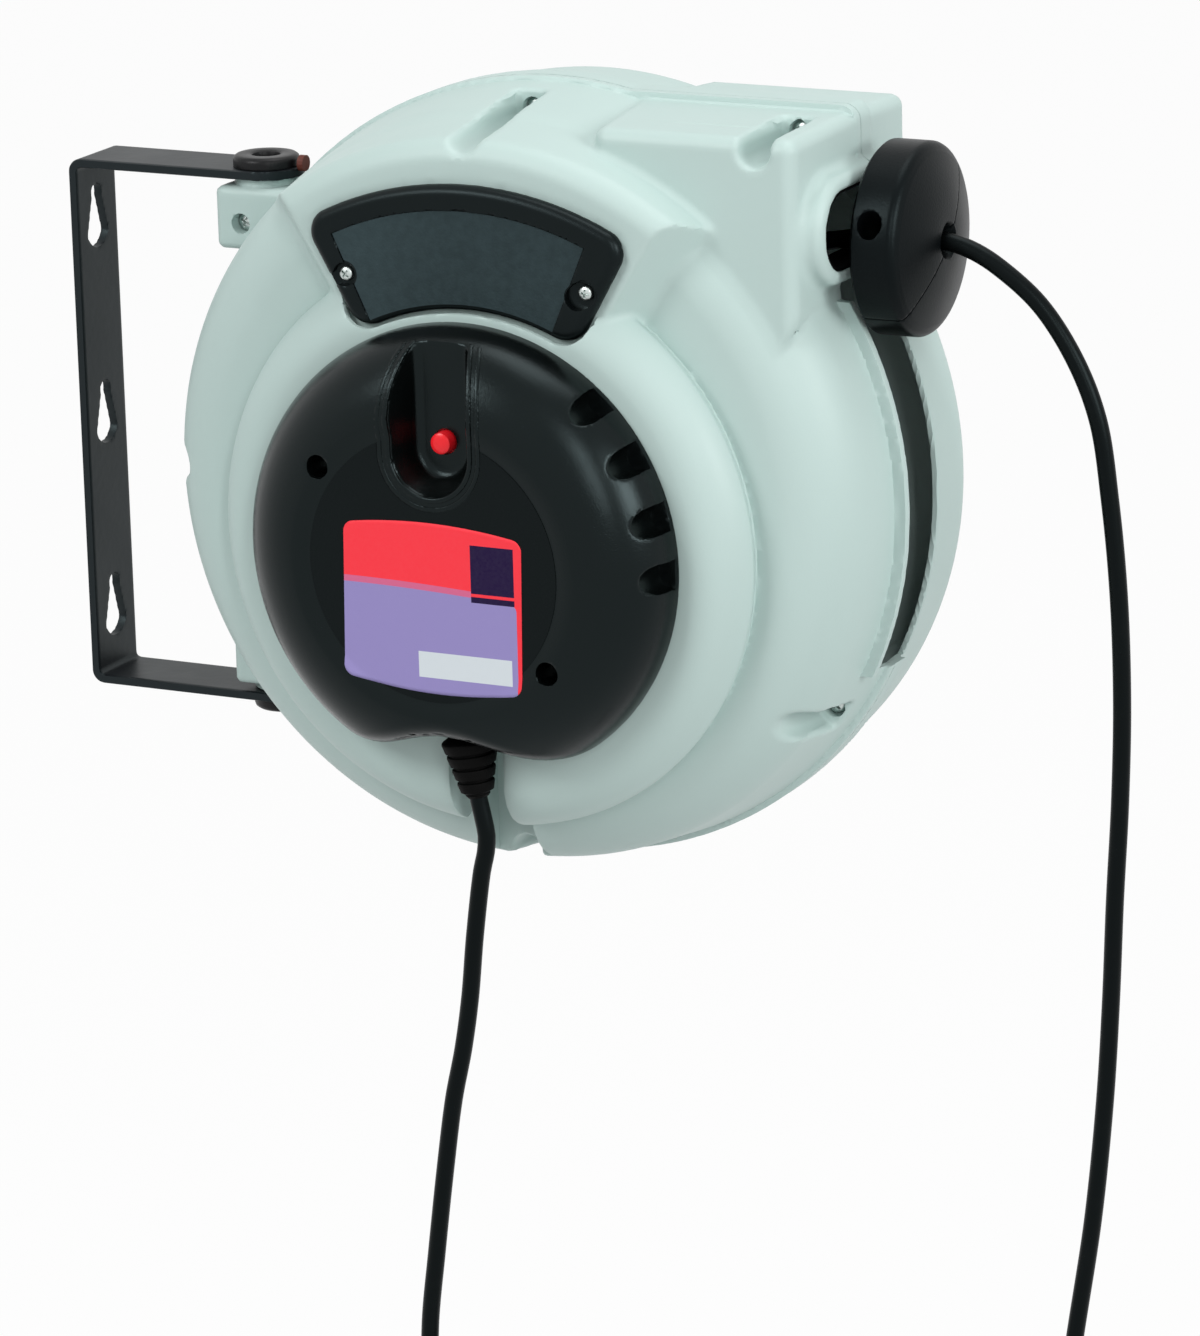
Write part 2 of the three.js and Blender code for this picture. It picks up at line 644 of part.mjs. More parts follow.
// ---------------------------------------------------------------- cover, button, panel
function coverProfile(inset) {
  const a = coverRadius - coverFlatRadius - inset * 0.4;
  const b = coverHeight - coverLip - inset;
  const flat = coverFlatRadius - inset * 0.6;
  const base = -ringDepth - gap;
  const profile = [[0, base + (inset ? 1 : 0)], [flat + a, base + (inset ? 1 : 0)], [flat + a, base - coverLip]];
  const bends = inset ? 3 : 6;
  for (let i = 1; i <= bends; i += 1) {
    const turn = (Math.PI / 2) * (i / bends);
    profile.push([flat + a * Math.cos(turn), base - coverLip - b * Math.sin(turn)]);
  }
  profile.push([0, base - coverLip - b]);
  return profile;
}

const pocketFloor = -ringDepth - coverHeight + pocketDepth;

function pocketSolid(half, y0, y1) {
  const low = hubHeight + pocketLow;
  return join(
    move(rodY(half, y0, y1, 28), wallToHub, 0, low),
    block(wallToHub - half, wallToHub + half, y0, y1, low, hubHeight + coverRadius + 4),
  );
}

function connectionCover() {
  const dome = atHub(turned(coverProfile(0), 44));
  const hollow = atHub(turned(coverProfile(coverWall), 24));
  const pocketWalls = pocketSolid(pocketHalf + coverWall, pocketFloor - 30, -ringDepth - gap - 12).intersect(
    join(dome)).intersect(pocketSolid(pocketHalf + coverWall, -160, pocketFloor + coverWall));
  const bosses = coverScrewPlaces().map(([x, z]) =>
    move(rodY(coverWellRadius + coverWall, -ringDepth - coverHeight, -ringDepth - gap, 12), x, 0, z));
  // Finger hollows down the right side and the bay round the supply cord.
  const groove = (angle, grow, y) => {
    const [r, middle] = [scallopRadius + grow, coverRadius - scallopReach + scallopRadius];
    const shape = join(move(rodY(r, -160, y, 14), 0, 0, middle), block(-r, r, -160, y, middle, coverRadius + 10));
    return atHub(shape.rotate([0, angle, 0]));
  };
  const hollows = scallopAngles.map((angle) => groove(angle, 0, -ringDepth - gap - coverLip));
  const bay = atHub(slabY(baySolidShape(0), -200, 0));
  const bayWall = atHub(slabY(baySolidShape(coverWall), -ringDepth - 60, -ringDepth - gap)).intersect(dome);
  const scallopWalls = scallopAngles.map((angle) => groove(angle, coverWall, -ringDepth - gap).intersect(dome));
  let body = join(cut(dome, hollow), pocketWalls, join(...bosses).intersect(dome), bayWall, ...scallopWalls);
  const wells = coverScrewPlaces().map(([x, z]) =>
    join(
      move(rodY(coverWellRadius, -ringDepth - coverHeight - 5, -ringDepth - 12, 16), x, 0, z),
      move(rodY(2.2, -ringDepth - 20, -ringDepth + 2, 12), x, 0, z),
    ));
  const buttonHole = move(rodY(buttonRadius + gap, -160, -100, 24), wallToHub, 0, hubHeight + buttonRise);
  const reliefSlot = onRelief(join(rodZ(6.9, -4, 6, 12), block(-6.9, 6.9, 0, 30, -4, 6)));
  const belowBase = block(0, 600, -ringDepth - gap, 0, -300, 400);
  body = cut(body, bay, ...hollows, pocketSolid(pocketHalf, -170, pocketFloor), ...wells, buttonHole, reliefSlot, belowBase);
  return body;
}

// Outline of the bay that the cover leaves open over the cord: a low arch with soft shoulders.
function baySolidShape(grow) {
  const points = [];
  for (let i = 0; i <= 12; i += 1) {
    const x = -58 + (116 * i) / 12;
    const arch = Math.cos((Math.PI * x) / 116);
    points.push(new THREE.Vector2(x * (1 + grow / 58), -97 + 14 * arch * arch + grow));
  }
  points.push(new THREE.Vector2(58 + grow, -140), new THREE.Vector2(-58 - grow, -140));
  return new THREE.Shape(points);
}

const buttonRadius = 5.2;
const buttonRise = 57;
const buttonTravel = 2.5;
const buttonFace = pocketFloor - 6;

function resetButton() {
  const profile = [
    [0, buttonFace], [buttonRadius - 1.2, buttonFace], [buttonRadius, buttonFace + 1.2],
    [buttonRadius, pocketFloor + coverWall + 1], [buttonRadius + 1.6, pocketFloor + coverWall + 1],
    [buttonRadius + 1.6, pocketFloor + coverWall + 3], [2, pocketFloor + coverWall + 3],
    [2, pocketFloor + coverWall + 6], [0, pocketFloor + coverWall + 6],
  ];
  return move(turned(profile, 16), wallToHub, 0, hubHeight + buttonRise);
}

function arcPanel() {
  const plate = slabY(sectorShape(panelInner, panelOuter, panelAngle, panelRound), -padDepth - panelThickness - gap, -padDepth - gap);
  const field = slabY(sectorShape(panelInner + 8, panelOuter - 8, panelAngle - 4.4, 6), -130, -padDepth - panelThickness + 0.9);
  const holes = [-1, 1].map((side) => {
    const x = side * panelScrewCircle * Math.sin(rad(panelScrewAngle));
    const z = panelScrewCircle * Math.cos(rad(panelScrewAngle));
    const well = move(rodY(5, -130, -padDepth - 2.6, 14), x, 0, z);
    return join(well, move(rodY(2.1, -130, -80, 8), x, 0, z));
  });
  return atHub(cut(plate, field, ...holes));
}

// A pan-head screw along Y: head towards -Y, seat at y, shank length behind it.
function screwY(x, z, y, headRadius, headHeight, shankRadius, length) {
  const profile = [
    [0, y - headHeight], [headRadius * 0.7, y - headHeight], [headRadius, y - headHeight * 0.5], [headRadius, y],
    [shankRadius, y], [shankRadius, y + length], [0, y + length],
  ];
  return move(turned(profile, 8), x, 0, z);
}

// ---------------------------------------------------------------- drum and its fittings
const drumRearFace = drumFrontFace + windingWidth;
const drumFrontHalf = () => {
  const split = drumFrontFace + windingWidth / 2;
  return atHub(
    turned([
      [shaftRadius + 4.6, drumFrontFace - drumWall],
      [drumRadius, drumFrontFace - drumWall],
      [drumRadius, drumFrontFace],
      [drumCoreRadius, drumFrontFace],
      [drumCoreRadius, split - seam],
      [drumCoreRadius - drumWall, split - seam],
      [drumCoreRadius - drumWall, drumFrontFace + 2],
      [shaftRadius + 8, drumFrontFace + 2],
      [shaftRadius + 8, drumFrontFace + 12],
      [shaftRadius + 4.6, drumFrontFace + 12],
      [shaftRadius + 4.6, drumFrontFace - drumWall],
    ], 28),
  );
};
const drumRearHalf = () => {
  const split = drumFrontFace + windingWidth / 2;
  return atHub(
    turned([
      [shaftRadius + 4.6, drumRearFace + drumWall],
      [shaftRadius + 4.6, drumRearFace - 12],
      [shaftRadius + 8, drumRearFace - 12],
      [shaftRadius + 8, drumRearFace - 2],
      [drumCoreRadius - drumWall, drumRearFace - 2],
      [drumCoreRadius - drumWall, split + seam],
      [drumCoreRadius, split + seam],
      [drumCoreRadius, drumRearFace],
      [drumRadius, drumRearFace],
      [drumRadius, drumRearFace + drumWall],
      [shaftRadius + 4.6, drumRearFace + drumWall],
    ], 28),
  );
};


// ---------------------------------------------------------------- winding and the run to the mouth
const windingRadius = drumCoreRadius + gap + cordRadius * (2 * windingLayers - 1);
const leadStart = 0.5; // gap between the winding's end and the lead's

// The lead leaves the winding on a tangent and reaches the mouth at the stop's height.
const mouthPoint = [mouthReach, stopRise];
const mouthSpan = Math.hypot(...mouthPoint);
const leadAngle = Math.asin(mouthPoint[1] / mouthSpan) - Math.asin(windingRadius / mouthSpan);
const tangentPoint = [-windingRadius * Math.sin(leadAngle), windingRadius * Math.cos(leadAngle)];

// One unbroken helix: the outer layer of turns, over a plain core that stands for the layers below.
// Its last turn ends where the lead leaves, on the plane Y = 0.
function woundCable() {
  const pitch = 2 * cordRadius + 0.55;
  const first = drumFrontFace + cordRadius + 0.5;
  const turns = (0 - first) / pitch;
  const steps = Math.round(turns * 24);
  const end = Math.PI * 2 - leadAngle;
  const points = Array.from({ length: steps + 1 }, (_, i) => {
    const back = (2 * Math.PI * (steps - i)) / 24;
    return vec(windingRadius * Math.sin(end - back), -(pitch * (steps - i)) / 24, windingRadius * Math.cos(end - back));
  });
  report("winding", points, cordRadius, 24);
  return atHub(hose(points, cordRadius, 6));
}

function windingCore() {
  const inner = drumCoreRadius + gap;
  const outer = windingRadius * Math.cos(Math.PI / 24) - cordRadius - gap;
  return atHub(turned(tubeProfile(inner, outer, drumFrontFace + gap, drumRearFace - gap), 28));
}

// Least gap of a wound tube to itself, between points a turn or more apart.
function report(name, points, radius, apart) {
  let least = Infinity;
  for (let i = 0; i < points.length; i += 1) {
    for (let k = i + Math.round(apart * 0.6); k < points.length; k += 1) {
      least = Math.min(least, points[i].distanceTo(points[k]));
    }
  }
  const length = points.slice(1).reduce((sum, p, i) => sum + p.distanceTo(points[i]), 0);
  console.log(`${name}: length ${length.toFixed(0)} mm, least gap to itself ${(least - 2 * radius).toFixed(2)} mm`);
}

// ---------------------------------------------------------------- spring, ratchet, slip rings
const ratchetFront = drumFrontFace - drumWall - gap - ratchetThickness;

function ratchetRing() {
  const step = 360 / ratchetTeeth;
  const points = [];
  for (let i = 0; i < ratchetTeeth; i += 1) {
    for (const [part, drop] of [[0, 0], [0.42, 3], [0.985, 7]]) {
      const turn = rad(step * (i + part));
      points.push(new THREE.Vector2((ratchetRadius - drop) * Math.sin(turn), (ratchetRadius - drop) * Math.cos(turn)));
    }
  }
  const disc = slabY(new THREE.Shape(points), ratchetFront, ratchetFront + ratchetThickness);
  return atHub(cut(disc, rodY(slipHubRadius + 8, -100, 0, 20)));
}

// Pawl that drops between the teeth and holds the drum against the spring.
const pawlPivot = [ratchetRadius + 14, -60];
const pawlTip = [ratchetRadius + 4, -33.6];
function pawl() {
  const [px, pz] = polarHub(...pawlPivot);
  const [tx, tz] = polarHub(...pawlTip);
  const along = Math.atan2(tz - pz, tx - px);
  const reach = Math.hypot(tx - px, tz - pz);
  const shape = new THREE.Shape();
  shape.absarc(0, 0, 7, rad(60), rad(300), false);
  shape.lineTo(reach - 7, -4);
  shape.lineTo(reach, -2.5);
  shape.lineTo(reach, 0.6);
  shape.lineTo(reach - 12, 4);
  shape.closePath();
  const arm = slabY(shape, ratchetFront + 0.2, ratchetFront + ratchetThickness - 0.4);
  const bored = cut(arm, rodY(3.2 + gap, -100, 0, 20));
  return move(bored.rotate([0, (-along * 180) / Math.PI, 0]), wallToHub + px, 0, hubHeight + pz);
}
const polarHub = (r, angle) => [r * Math.sin(rad(angle)), r * Math.cos(rad(angle))];
const pawlPost = -58;
function pawlPin() {
  const [px, pz] = polarHub(...pawlPivot);
  const tip = ratchetFront + ratchetThickness - 0.3;
  return move(rodY(3.2, pawlPost - 16, tip, 20), wallToHub + px, 0, hubHeight + pz);
}
// A small coil spring along Y: one unbroken tube with straight ends.
function coilSpring(name, x, z, y0, y1, coil, wire, turns) {
  const steps = turns * 8;
  const points = Array.from({ length: steps + 1 }, (_, i) => {
    const turn = (2 * Math.PI * i) / 8;
    return vec(x + coil * Math.cos(turn), y0 + wire + ((y1 - y0 - 2 * wire) * i) / steps, z + coil * Math.sin(turn));
  });
  report(name, points, wire, 8);
  return hose(points, wire, 5);
}

function springCassette() {
  const front = drumRearFace + drumWall + gap;
  const rear = front + springDepth;
  const wall = 2.5;
  return atHub(turned([
    [shaftRadius + 12, front], [springCassetteRadius, front], [springCassetteRadius, rear],
    [shaftRadius + 12, rear], [shaftRadius + 12, rear - wall], [springCassetteRadius - wall, rear - wall],
    [springCassetteRadius - wall, front + wall], [shaftRadius + 12, front + wall], [shaftRadius + 12, front],
  ], 28));
}

// Spiral strip between the shaft and the cassette's wall.
function mainspring() {
  const front = drumRearFace + drumWall + gap + 4;
  const height = springDepth - 9;
  const inner = shaftRadius + 1.2;
  const outer = springCassetteRadius - 2.5 - 1.4;
  const steps = springTurns * 14;
  const thick = 0.55;
  const rings = Array.from({ length: steps + 1 }, (_, i) => {
    const turn = (2 * Math.PI * i) / 14;
    const r = inner + ((outer - inner) * i) / steps;
    const at = (radius, y) => vec(radius * Math.sin(turn), y, radius * Math.cos(turn));
    return [at(r - thick, front), at(r + thick, front), at(r + thick, front + height), at(r - thick, front + height)];
  });
  return atHub(skin(rings));
}

const slipFront = -ringDepth + 6;
const slipRear = drumFrontFace - drumWall - gap;
const slipRingPlaces = [13, 24, 35].map((drop) => drop - ringDepth);
function slipRingHub() {
  const hole = shaftRadius + runningGap;
  const step = slipHubRadius - 2.6;
  const profile = [[hole, slipFront], [step, slipFront], [step, slipRear - 5], [slipHubRadius + 6, slipRear - 5],
    [slipHubRadius + 6, slipRear], [hole, slipRear], [hole, slipFront]];
  const body = turned(profile, 18);
  const fins = slipRingPlaces.slice(1).map((y) => turned(tubeProfile(step - 1, slipRingRadius - 1, y - 7.2, y - 4.4), 18));
  return atHub(join(body, ...fins));
}
const slipRing = (y) =>
  atHub(turned(tubeProfile(slipHubRadius - 2.6 + gap, slipRingRadius, y - ringThickness, y + ringThickness - 0.5), 18));

// Disc on the ring's top that holds the shaft's end and the three brush arms.
const holderRadius = 52;
const holderFront = -ringDepth - gap - 3.5;
function brushHolder() {
  const disc = turned([
    [shaftRadius - 2 + gap, holderFront - 3], [14, holderFront - 3], [14, holderFront], [holderRadius, holderFront],
    [holderRadius, -ringDepth - gap], [shaftRadius - 2 + gap, -ringDepth - gap], [shaftRadius - 2 + gap, holderFront - 3],
  ], 20);
  return atHub(disc);
}
function brush(index) {
  const y = slipRingPlaces[index];
  const back = -ringDepth - gap * 0 + 0.1;
  const leg = block(-5, 5, back, y + 3, 38.6, 42.6);
  const carbon = block(-4, 4, y - 3, y + 3, slipRingRadius + gap, 39);
  return atHub(join(leg, carbon).rotate([0, 60 + 60 * index, 0]));
}

const shaftFront = holderFront - 3 - 7;
const shaftRear = rearDepth + 1.6;
function mainShaft() {
  const shoulder = -ringDepth + 1;
  const profile = [
    [0, shaftFront], [shaftRadius - 3, shaftFront], [shaftRadius - 2, shaftFront + 1], [shaftRadius - 2, shoulder],
    [shaftRadius, shoulder], [shaftRadius, shaftRear], [0, shaftRear],
  ];
  return atHub(turned(profile, 16));
}
function shaftNut() {
  const y = holderFront - 3 - gap;
  const hex = new THREE.Shape(Array.from({ length: 6 }, (_, i) =>
    new THREE.Vector2(11 * Math.cos(rad(60 * i)), 11 * Math.sin(rad(60 * i)))));
  return atHub(cut(slabY(hex, y - 5, y), rodY(shaftRadius - 2 + gap, -200, 0, 12)));
}
const bush = (y0, y1) => atHub(turned(tubeProfile(shaftRadius + gap, shaftRadius + 4.3, y0, y1), 20));

// ---------------------------------------------------------------- under the cover
function thermalCutout() {
  const z = hubHeight + buttonRise + 7;
  const y = -ringDepth - gap;
  const body = block(wallToHub - 13, wallToHub + 13, y - 6.5, y, z - 11, z + 13);
  const tabs = [-7, 7].map((x) => block(wallToHub + x - 3, wallToHub + x + 3, y - 2, y, z + 12, z + 20));
  return join(body, ...tabs);
}
function terminalBlock() {
  const y = -ringDepth - gap;
  const body = block(wallToHub - 19, wallToHub + 19, y - 11, y, hubHeight - 73, hubHeight - 56);
  const ways = [-12, 0, 12].map((x) =>
    join(
      move(rodY(3, y - 12, y - 5, 8), wallToHub + x, 0, hubHeight - 64.5),
      move(rodZ(2, -20, 0, 8), wallToHub + x, y - 6, hubHeight - 60),
    ));
  return cut(body, ...ways);
}

// The strain relief leans with its cord about the point where it passes the cover.
const reliefPivot = [1.6, -82.5];
const reliefLean = 8;
const onRelief = (body) => move(body.rotate([0, -reliefLean, 0]), wallToHub + reliefPivot[0], supplyDepth, hubHeight + reliefPivot[1]);
const onReliefAxis = (z) => [reliefPivot[0] - (z - reliefPivot[1]) * Math.tan(rad(reliefLean)), z];

// Tapered rubber sleeve with ribs: it grips the cover's bay wall in a groove.
const reliefTop = supplyExitRise + 9;
function strainRelief() {
  const foot = supplyExitRise - reliefLength;
  const bore = cordRadius + gap;
  const wallTop = supplyExitRise + 5.6;
  const profile = [[bore, reliefTop], [9, reliefTop], [9, wallTop], [6.6, wallTop], [6.6, supplyExitRise - 1.2], [10, supplyExitRise - 2.2], [13.6, supplyExitRise - 4.6]];
  for (let i = 0; i < 5; i += 1) {
    const z = supplyExitRise - 5 - i * 5.4;
    const r = 13.4 - i * 1.1;
    profile.push([r, z - 1.5], [r - 2, z - 2.2], [r - 2, z - 4.4], [r - 1.1, z - 5]);
  }
  profile.push([bore + 2.2, foot], [bore, foot], [bore, reliefTop]);
  return onRelief(move(turnedZ(profile, 12), 0, 0, -reliefPivot[1]));
}

// ---------------------------------------------------------------- mouth and stop
function mouthGuide() {
  const half = [mouthHalfLength - mouthWall - gap, mouthHalfHeight - mouthWall - gap];
  const tube = (d, x0, x1) =>
    slabX(stadium(mouthOffset, hubHeight + mouthRise, half[0] - d, half[1] - d), wallToHub + x0, wallToHub + x1);
  const back = boxRight - 8 - gap;
  const front = mouthReach - 1;
  const flange = slabX(stadium(mouthOffset, hubHeight + mouthRise, half[0] + 3, half[1] + 3), wallToHub + back - 2, wallToHub + back);
  return cut(join(tube(0, back - 1, front), flange), tube(1.2, back - 5, front + 5));
}

const stopCentre = [wallToHub + stopFace, 0, hubHeight + stopRise];
const splitNormal = vec(0, -Math.cos(rad(stopSplit)), Math.sin(rad(stopSplit)));
const splitAlong = vec(0, -Math.sin(rad(stopSplit)), -Math.cos(rad(stopSplit)));

function stopProfile() {
  const profile = [[cordRadius + 2.2, -5], [stopBoss - 1, -5], [stopBoss, -4], [stopBoss, 0], [stopRadius - 1.5, 0], [stopRadius, 1.5],
    [stopRadius, stopBand]];
  for (let i = 1; i <= 5; i += 1) {
    const turn = rad((90 * i) / 5);
    profile.push([9 + (stopRadius - 9) * Math.cos(turn) ** 1.0, stopBand + stopDome * Math.sin(turn)]);
  }
  const end = stopBand + stopDome;
  profile.push([8.4, end - 1.2], [cordRadius + 1.2, end - 6], [cordRadius + gap, end - 9], [cordRadius + gap, 6], [cordRadius + 2.2, -5]);
  return profile;
}

// Quarter turn about X that carries +Z onto the split's normal.
const toSplit = (body) => body.rotate([90 - stopSplit, 0, 0]);
function stopHalf(side) {
  const whole = turnedX(stopProfile(), 30);
  const keep = toSplit(block(-20, 60, -60, 60, side > 0 ? seam : -60, side > 0 ? 60 : -seam));
  const mid = stopBand / 2;
  const holes = [1, -1].map((turn) => {
    const along = -turn * stopScrewOffset;
    const head = turn > 0 ? rodZ(6, 14, 60, 14) : rodZ(6, -60, -14, 14);
    const core = turn > 0 ? rodZ(2.4, -13.5, 20, 8) : rodZ(2.4, -20, 13.5, 8);
    return toSplit(move(join(head, core), mid, along, 0));
  });
  return move(cut(whole.intersect(keep), ...holes), ...stopCentre);
}
function stopScrew(turn) {
  const profile = [[0, -12], [2, -12], [2, 14 + gap], [4.6, 14 + gap], [4.6, 16.4], [3.4, 17.6], [0, 17.6]];
  const screw = turnedZ(profile, 10);
  const placed = turn > 0 ? screw : screw.rotate([180, 0, 0]);
  return move(toSplit(move(placed, stopBand / 2, -turn * stopScrewOffset, 0)), ...stopCentre);
}

// ---------------------------------------------------------------- cords
const atHubPoint = (x, y, z) => vec(wallToHub + x, y, hubHeight + z);
const feedEnd = stopFace + stopBand + stopDome - 9;

// Inner lead: straight off the winding, level where it meets the stop.
function feedCable() {
  const start = leadStart;
  const dir = [Math.cos(leadAngle), Math.sin(leadAngle)];
  const at = (t) => atHubPoint(tangentPoint[0] + dir[0] * t, 0, tangentPoint[1] + dir[1] * t);
  const total = (mouthReach - tangentPoint[0]) / dir[0];
  const route = [at(start), at(total * 0.3), at(total * 0.6), at(total - 18), at(total - 6),
    atHubPoint(mouthReach + 3, 0, stopRise - 0.1), atHubPoint(stopFace + 4, 0, stopRise), atHubPoint(feedEnd, 0, stopRise)];
  return cordTube(route, cordRadius, 12, 8);
}

// The outlet cord hangs from the stop: places from the stop's outer opening, along X and Z.
const socketPlace = [56, -697.4]; // top of the trailing socket's neck
const outletRoute = () => [
  [gap, 0], [4, 0], [11, -0.8], [22.5, -4.4], [34.5, -11], [54.2, -26.8], [71.4, -51.3], [82.6, -78.7], [88.4, -116], [92.6, -161.4],
  [94.1, -211.2], [93, -259.4], [90.2, -309.1], [88, -359.4], [84.8, -409], [78.5, -469.4], [68.9, -530.9],
  [61.5, -581.4], [57, -631.4], [56, -671.4],
  socketPlace,
].map(([x, z]) => atHubPoint(feedEnd + x, 0, stopRise + z));

const hankStart = -446; // hank's first run begins here, below the drum axis
const hankX = -30; // and this far beside it
const supplyRoute = () => [
  onReliefAxis(-75), onReliefAxis(-85), onReliefAxis(-96), onReliefAxis(-107), onReliefAxis(-118), [8.6, -127], [10, -135], [9.4, -143], [7, -153], [2.2, -185], [-1.6, -217.5], [-6, -243],
  [-12, -269.2], [-17.8, -305], [-24.2, -350], [-28.8, -385], [hankX, -415], [hankX, hankStart + 2 * cordRadius + gap],
].map(([x, z]) => atHubPoint(x, supplyDepth, z));

// Tied hank: two layers of long loops, one spiralling in and one out again, drawn in at the waist.
// The cord then runs on down past the loops to its plug.
const hankLoops = 1; // in each layer
const hankHalf = 70; // half of a run's straight length
const hankOuter = 38;
const hankPitch = 10.2;
const hankLayer = 9.8;
const hankWaist = 14;
const hankTail = 2 * hankHalf + hankOuter + 12;
const hankSteps = 24;

const waistShift = (z) => (Math.abs(z) < hankHalf ? hankWaist * Math.cos((Math.PI * z) / (2 * hankHalf)) ** 2 : 0);

// A loop's middle line: down the left run, round below, up the right run, over the top.
// Each run takes a sixth of the steps and each bend a third.
function loopPoint(part, r) {
  const run = 2 * hankHalf;
  if (part < 1 / 6) {
    const z = hankHalf - run * part * 6;
    return [-r + waistShift(z), z];
  }
  if (part < 1 / 2) {
    const turn = Math.PI * (part - 1 / 6) * 3;
    return [-r * Math.cos(turn), -hankHalf - r * Math.sin(turn)];
  }
  if (part < 2 / 3) {
    const z = run * (part - 1 / 2) * 6 - hankHalf;
    return [r - waistShift(z), z];
  }
  const turn = Math.PI * (part - 2 / 3) * 3;
  return [r * Math.cos(turn), hankHalf + r * Math.sin(turn)];
}

function hankLine() {
  const total = 2 * hankLoops;
  const middle = [hankX + hankOuter, hankStart - hankHalf];
  const place = (x, z, layer) => atHubPoint(middle[0] + x, supplyDepth + layer * hankLayer, middle[1] + z);
  const points = [place(-hankOuter, hankHalf + 2 * cordRadius, 0)];
  for (let i = 0; i <= total * hankSteps; i += 1) {
    const loops = i / hankSteps;
    const inwards = Math.min(loops, total - loops);
    const layer = THREE.MathUtils.clamp((loops - hankLoops + 0.25) * 2, 0, 1);
    points.push(place(...loopPoint(loops % 1, hankOuter - hankPitch * inwards), layer));
  }
  for (let i = 1; i <= 10; i += 1) {
    const z = hankHalf - (hankTail * i) / 10;
    points.push(place(-hankOuter + waistShift(z), z, 1));
  }
  points.push(points.at(-1).clone().add(vec(0, 0, -2 * cordRadius)));
  return points;
}
function supplyHank() {
  const line = hankLine();
  report("hank", line, cordRadius, hankSteps);
  return hose(line, cordRadius, 6);
}
function hankTie() {
  const half = [hankOuter - hankWaist + cordRadius + 3.4, (hankLayer + 2 * cordRadius) / 2 + 0.6];
  const middle = atHubPoint(hankX + hankOuter, supplyDepth + hankLayer / 2, hankStart - hankHalf);
  const band = (grow, tall) => slabX(stadium(0, 0, half[0] + grow, half[1] + grow, 8), -tall / 2, tall / 2);
  const ring = cut(band(1.6, 14), band(0, 20));
  return move(ring.rotate([0, 90, 0]).rotate([0, 0, 90]), ...middle.toArray());
}

// Straight rubber plug: a grip turned about its cord, and two pins.
function supplyPlug() {
  const end = hankLine().at(-1);
  const profile = [[0, -gap], [7, -gap], [9, -12], [13, -20], [18.5, -26], [18.5, -33], [16.5, -35], [16.5, -52], [0, -52]];
  const body = turnedZ(profile, 16);
  const holes = [-9.5, 9.5].map((y) => move(rodZ(2.4 + gap, -60, -40, 8), 0, y, 0));
  const notch = [-1, 1].map((side) => block(side * 17.4 - 2, side * 17.4 + 2, -4, 4, -60, -40));
  return move(cut(body, ...holes, ...notch), end.x, end.y, end.z);
}
function plugPin(side) {
  const end = hankLine().at(-1);
  const profile = [[0, -71], [1.6, -71], [2.4, -69.5], [2.4, -40.5], [0, -40.5]];
  return move(turnedZ(profile, 12), end.x, end.y + side * 9.5, end.z);
}

// Trailing socket at the outlet cord's end: a turned grip with a recessed face.
function outletSocket() {
  const profile = [[0, -gap], [7.5, -gap], [9.5, -14], [16, -24], [22.5, -30], [24, -36], [24, -78], [19.6, -78], [19.6, -61], [0, -61]];
  const holes = [-9.5, 9.5].map((y) => move(rodZ(2.8, -70, -44, 8), 0, y, 0));
  const end = outletRoute().at(-1);
  return move(cut(turnedZ(profile, 20), ...holes), end.x, end.y, end.z);
}

// ---------------------------------------------------------------- export group
const group = new THREE.Group();
const materials = {
  casing: new THREE.MeshStandardMaterial({ color: 0xc3cfcc, roughness: 0.45, metalness: 0 }),
  black: new THREE.MeshStandardMaterial({ color: 0x17181a, roughness: 0.5, metalness: 0 }),
  painted: new THREE.MeshStandardMaterial({ color: 0x0f0f11, roughness: 0.35, metalness: 0.3 }),
  zinc: new THREE.MeshStandardMaterial({ color: 0xb9bec2, roughness: 0.35, metalness: 0.9 }),
  steel: new THREE.MeshStandardMaterial({ color: 0x8d9296, roughness: 0.4, metalness: 0.9 }),
  brass: new THREE.MeshStandardMaterial({ color: 0xb58b3c, roughness: 0.35, metalness: 0.9 }),
  red: new THREE.MeshStandardMaterial({ color: 0xd8262b, roughness: 0.35, metalness: 0 }),
  brown: new THREE.MeshStandardMaterial({ color: 0x6b2a22, roughness: 0.6, metalness: 0 }),
  sheath: new THREE.MeshStandardMaterial({ color: 0x141416, roughness: 0.6, metalness: 0 }),
  insulator: new THREE.MeshStandardMaterial({ color: 0x5c4a3a, roughness: 0.6, metalness: 0 }),
};

function add(name, body, material) {
  const geometry = body.isBufferGeometry ? body : geometryOf(body);
  const mesh = new THREE.Mesh(geometry, materials[material]);
  mesh.name = name;
  group.add(mesh);
}

add("wall_bracket", wallBracket(), "painted");
add("swivel_pin_top", swivelPin(true), "black");
add("swivel_pin_bottom", swivelPin(false), "black");
add("swivel_buffer", swivelBuffer(), "brown");
add("front_casing", frontCasing(), "casing");
add("rear_casing", rearCasing(), "casing");
add("connection_cover", connectionCover(), "black");
add("arc_panel", arcPanel(), "black");
add("reset_button", resetButton(), "red");
add("drum_front_half", drumFrontHalf(), "black");
add("drum_rear_half", drumRearHalf(), "black");
add("winding_core", windingCore(), "sheath");
add("wound_cable", woundCable(), "sheath");
add("ratchet_ring", ratchetRing(), "steel");
add("pawl", pawl(), "steel");
add("pawl_pin", pawlPin(), "steel");
add("spring_cassette", springCassette(), "steel");
add("mainspring", mainspring(), "steel");
add("slip_ring_hub", slipRingHub(), "insulator");
slipRingPlaces.forEach((y, i) => add(`slip_ring_${i + 1}`, slipRing(y), "brass"));
add("brush_holder", brushHolder(), "insulator");
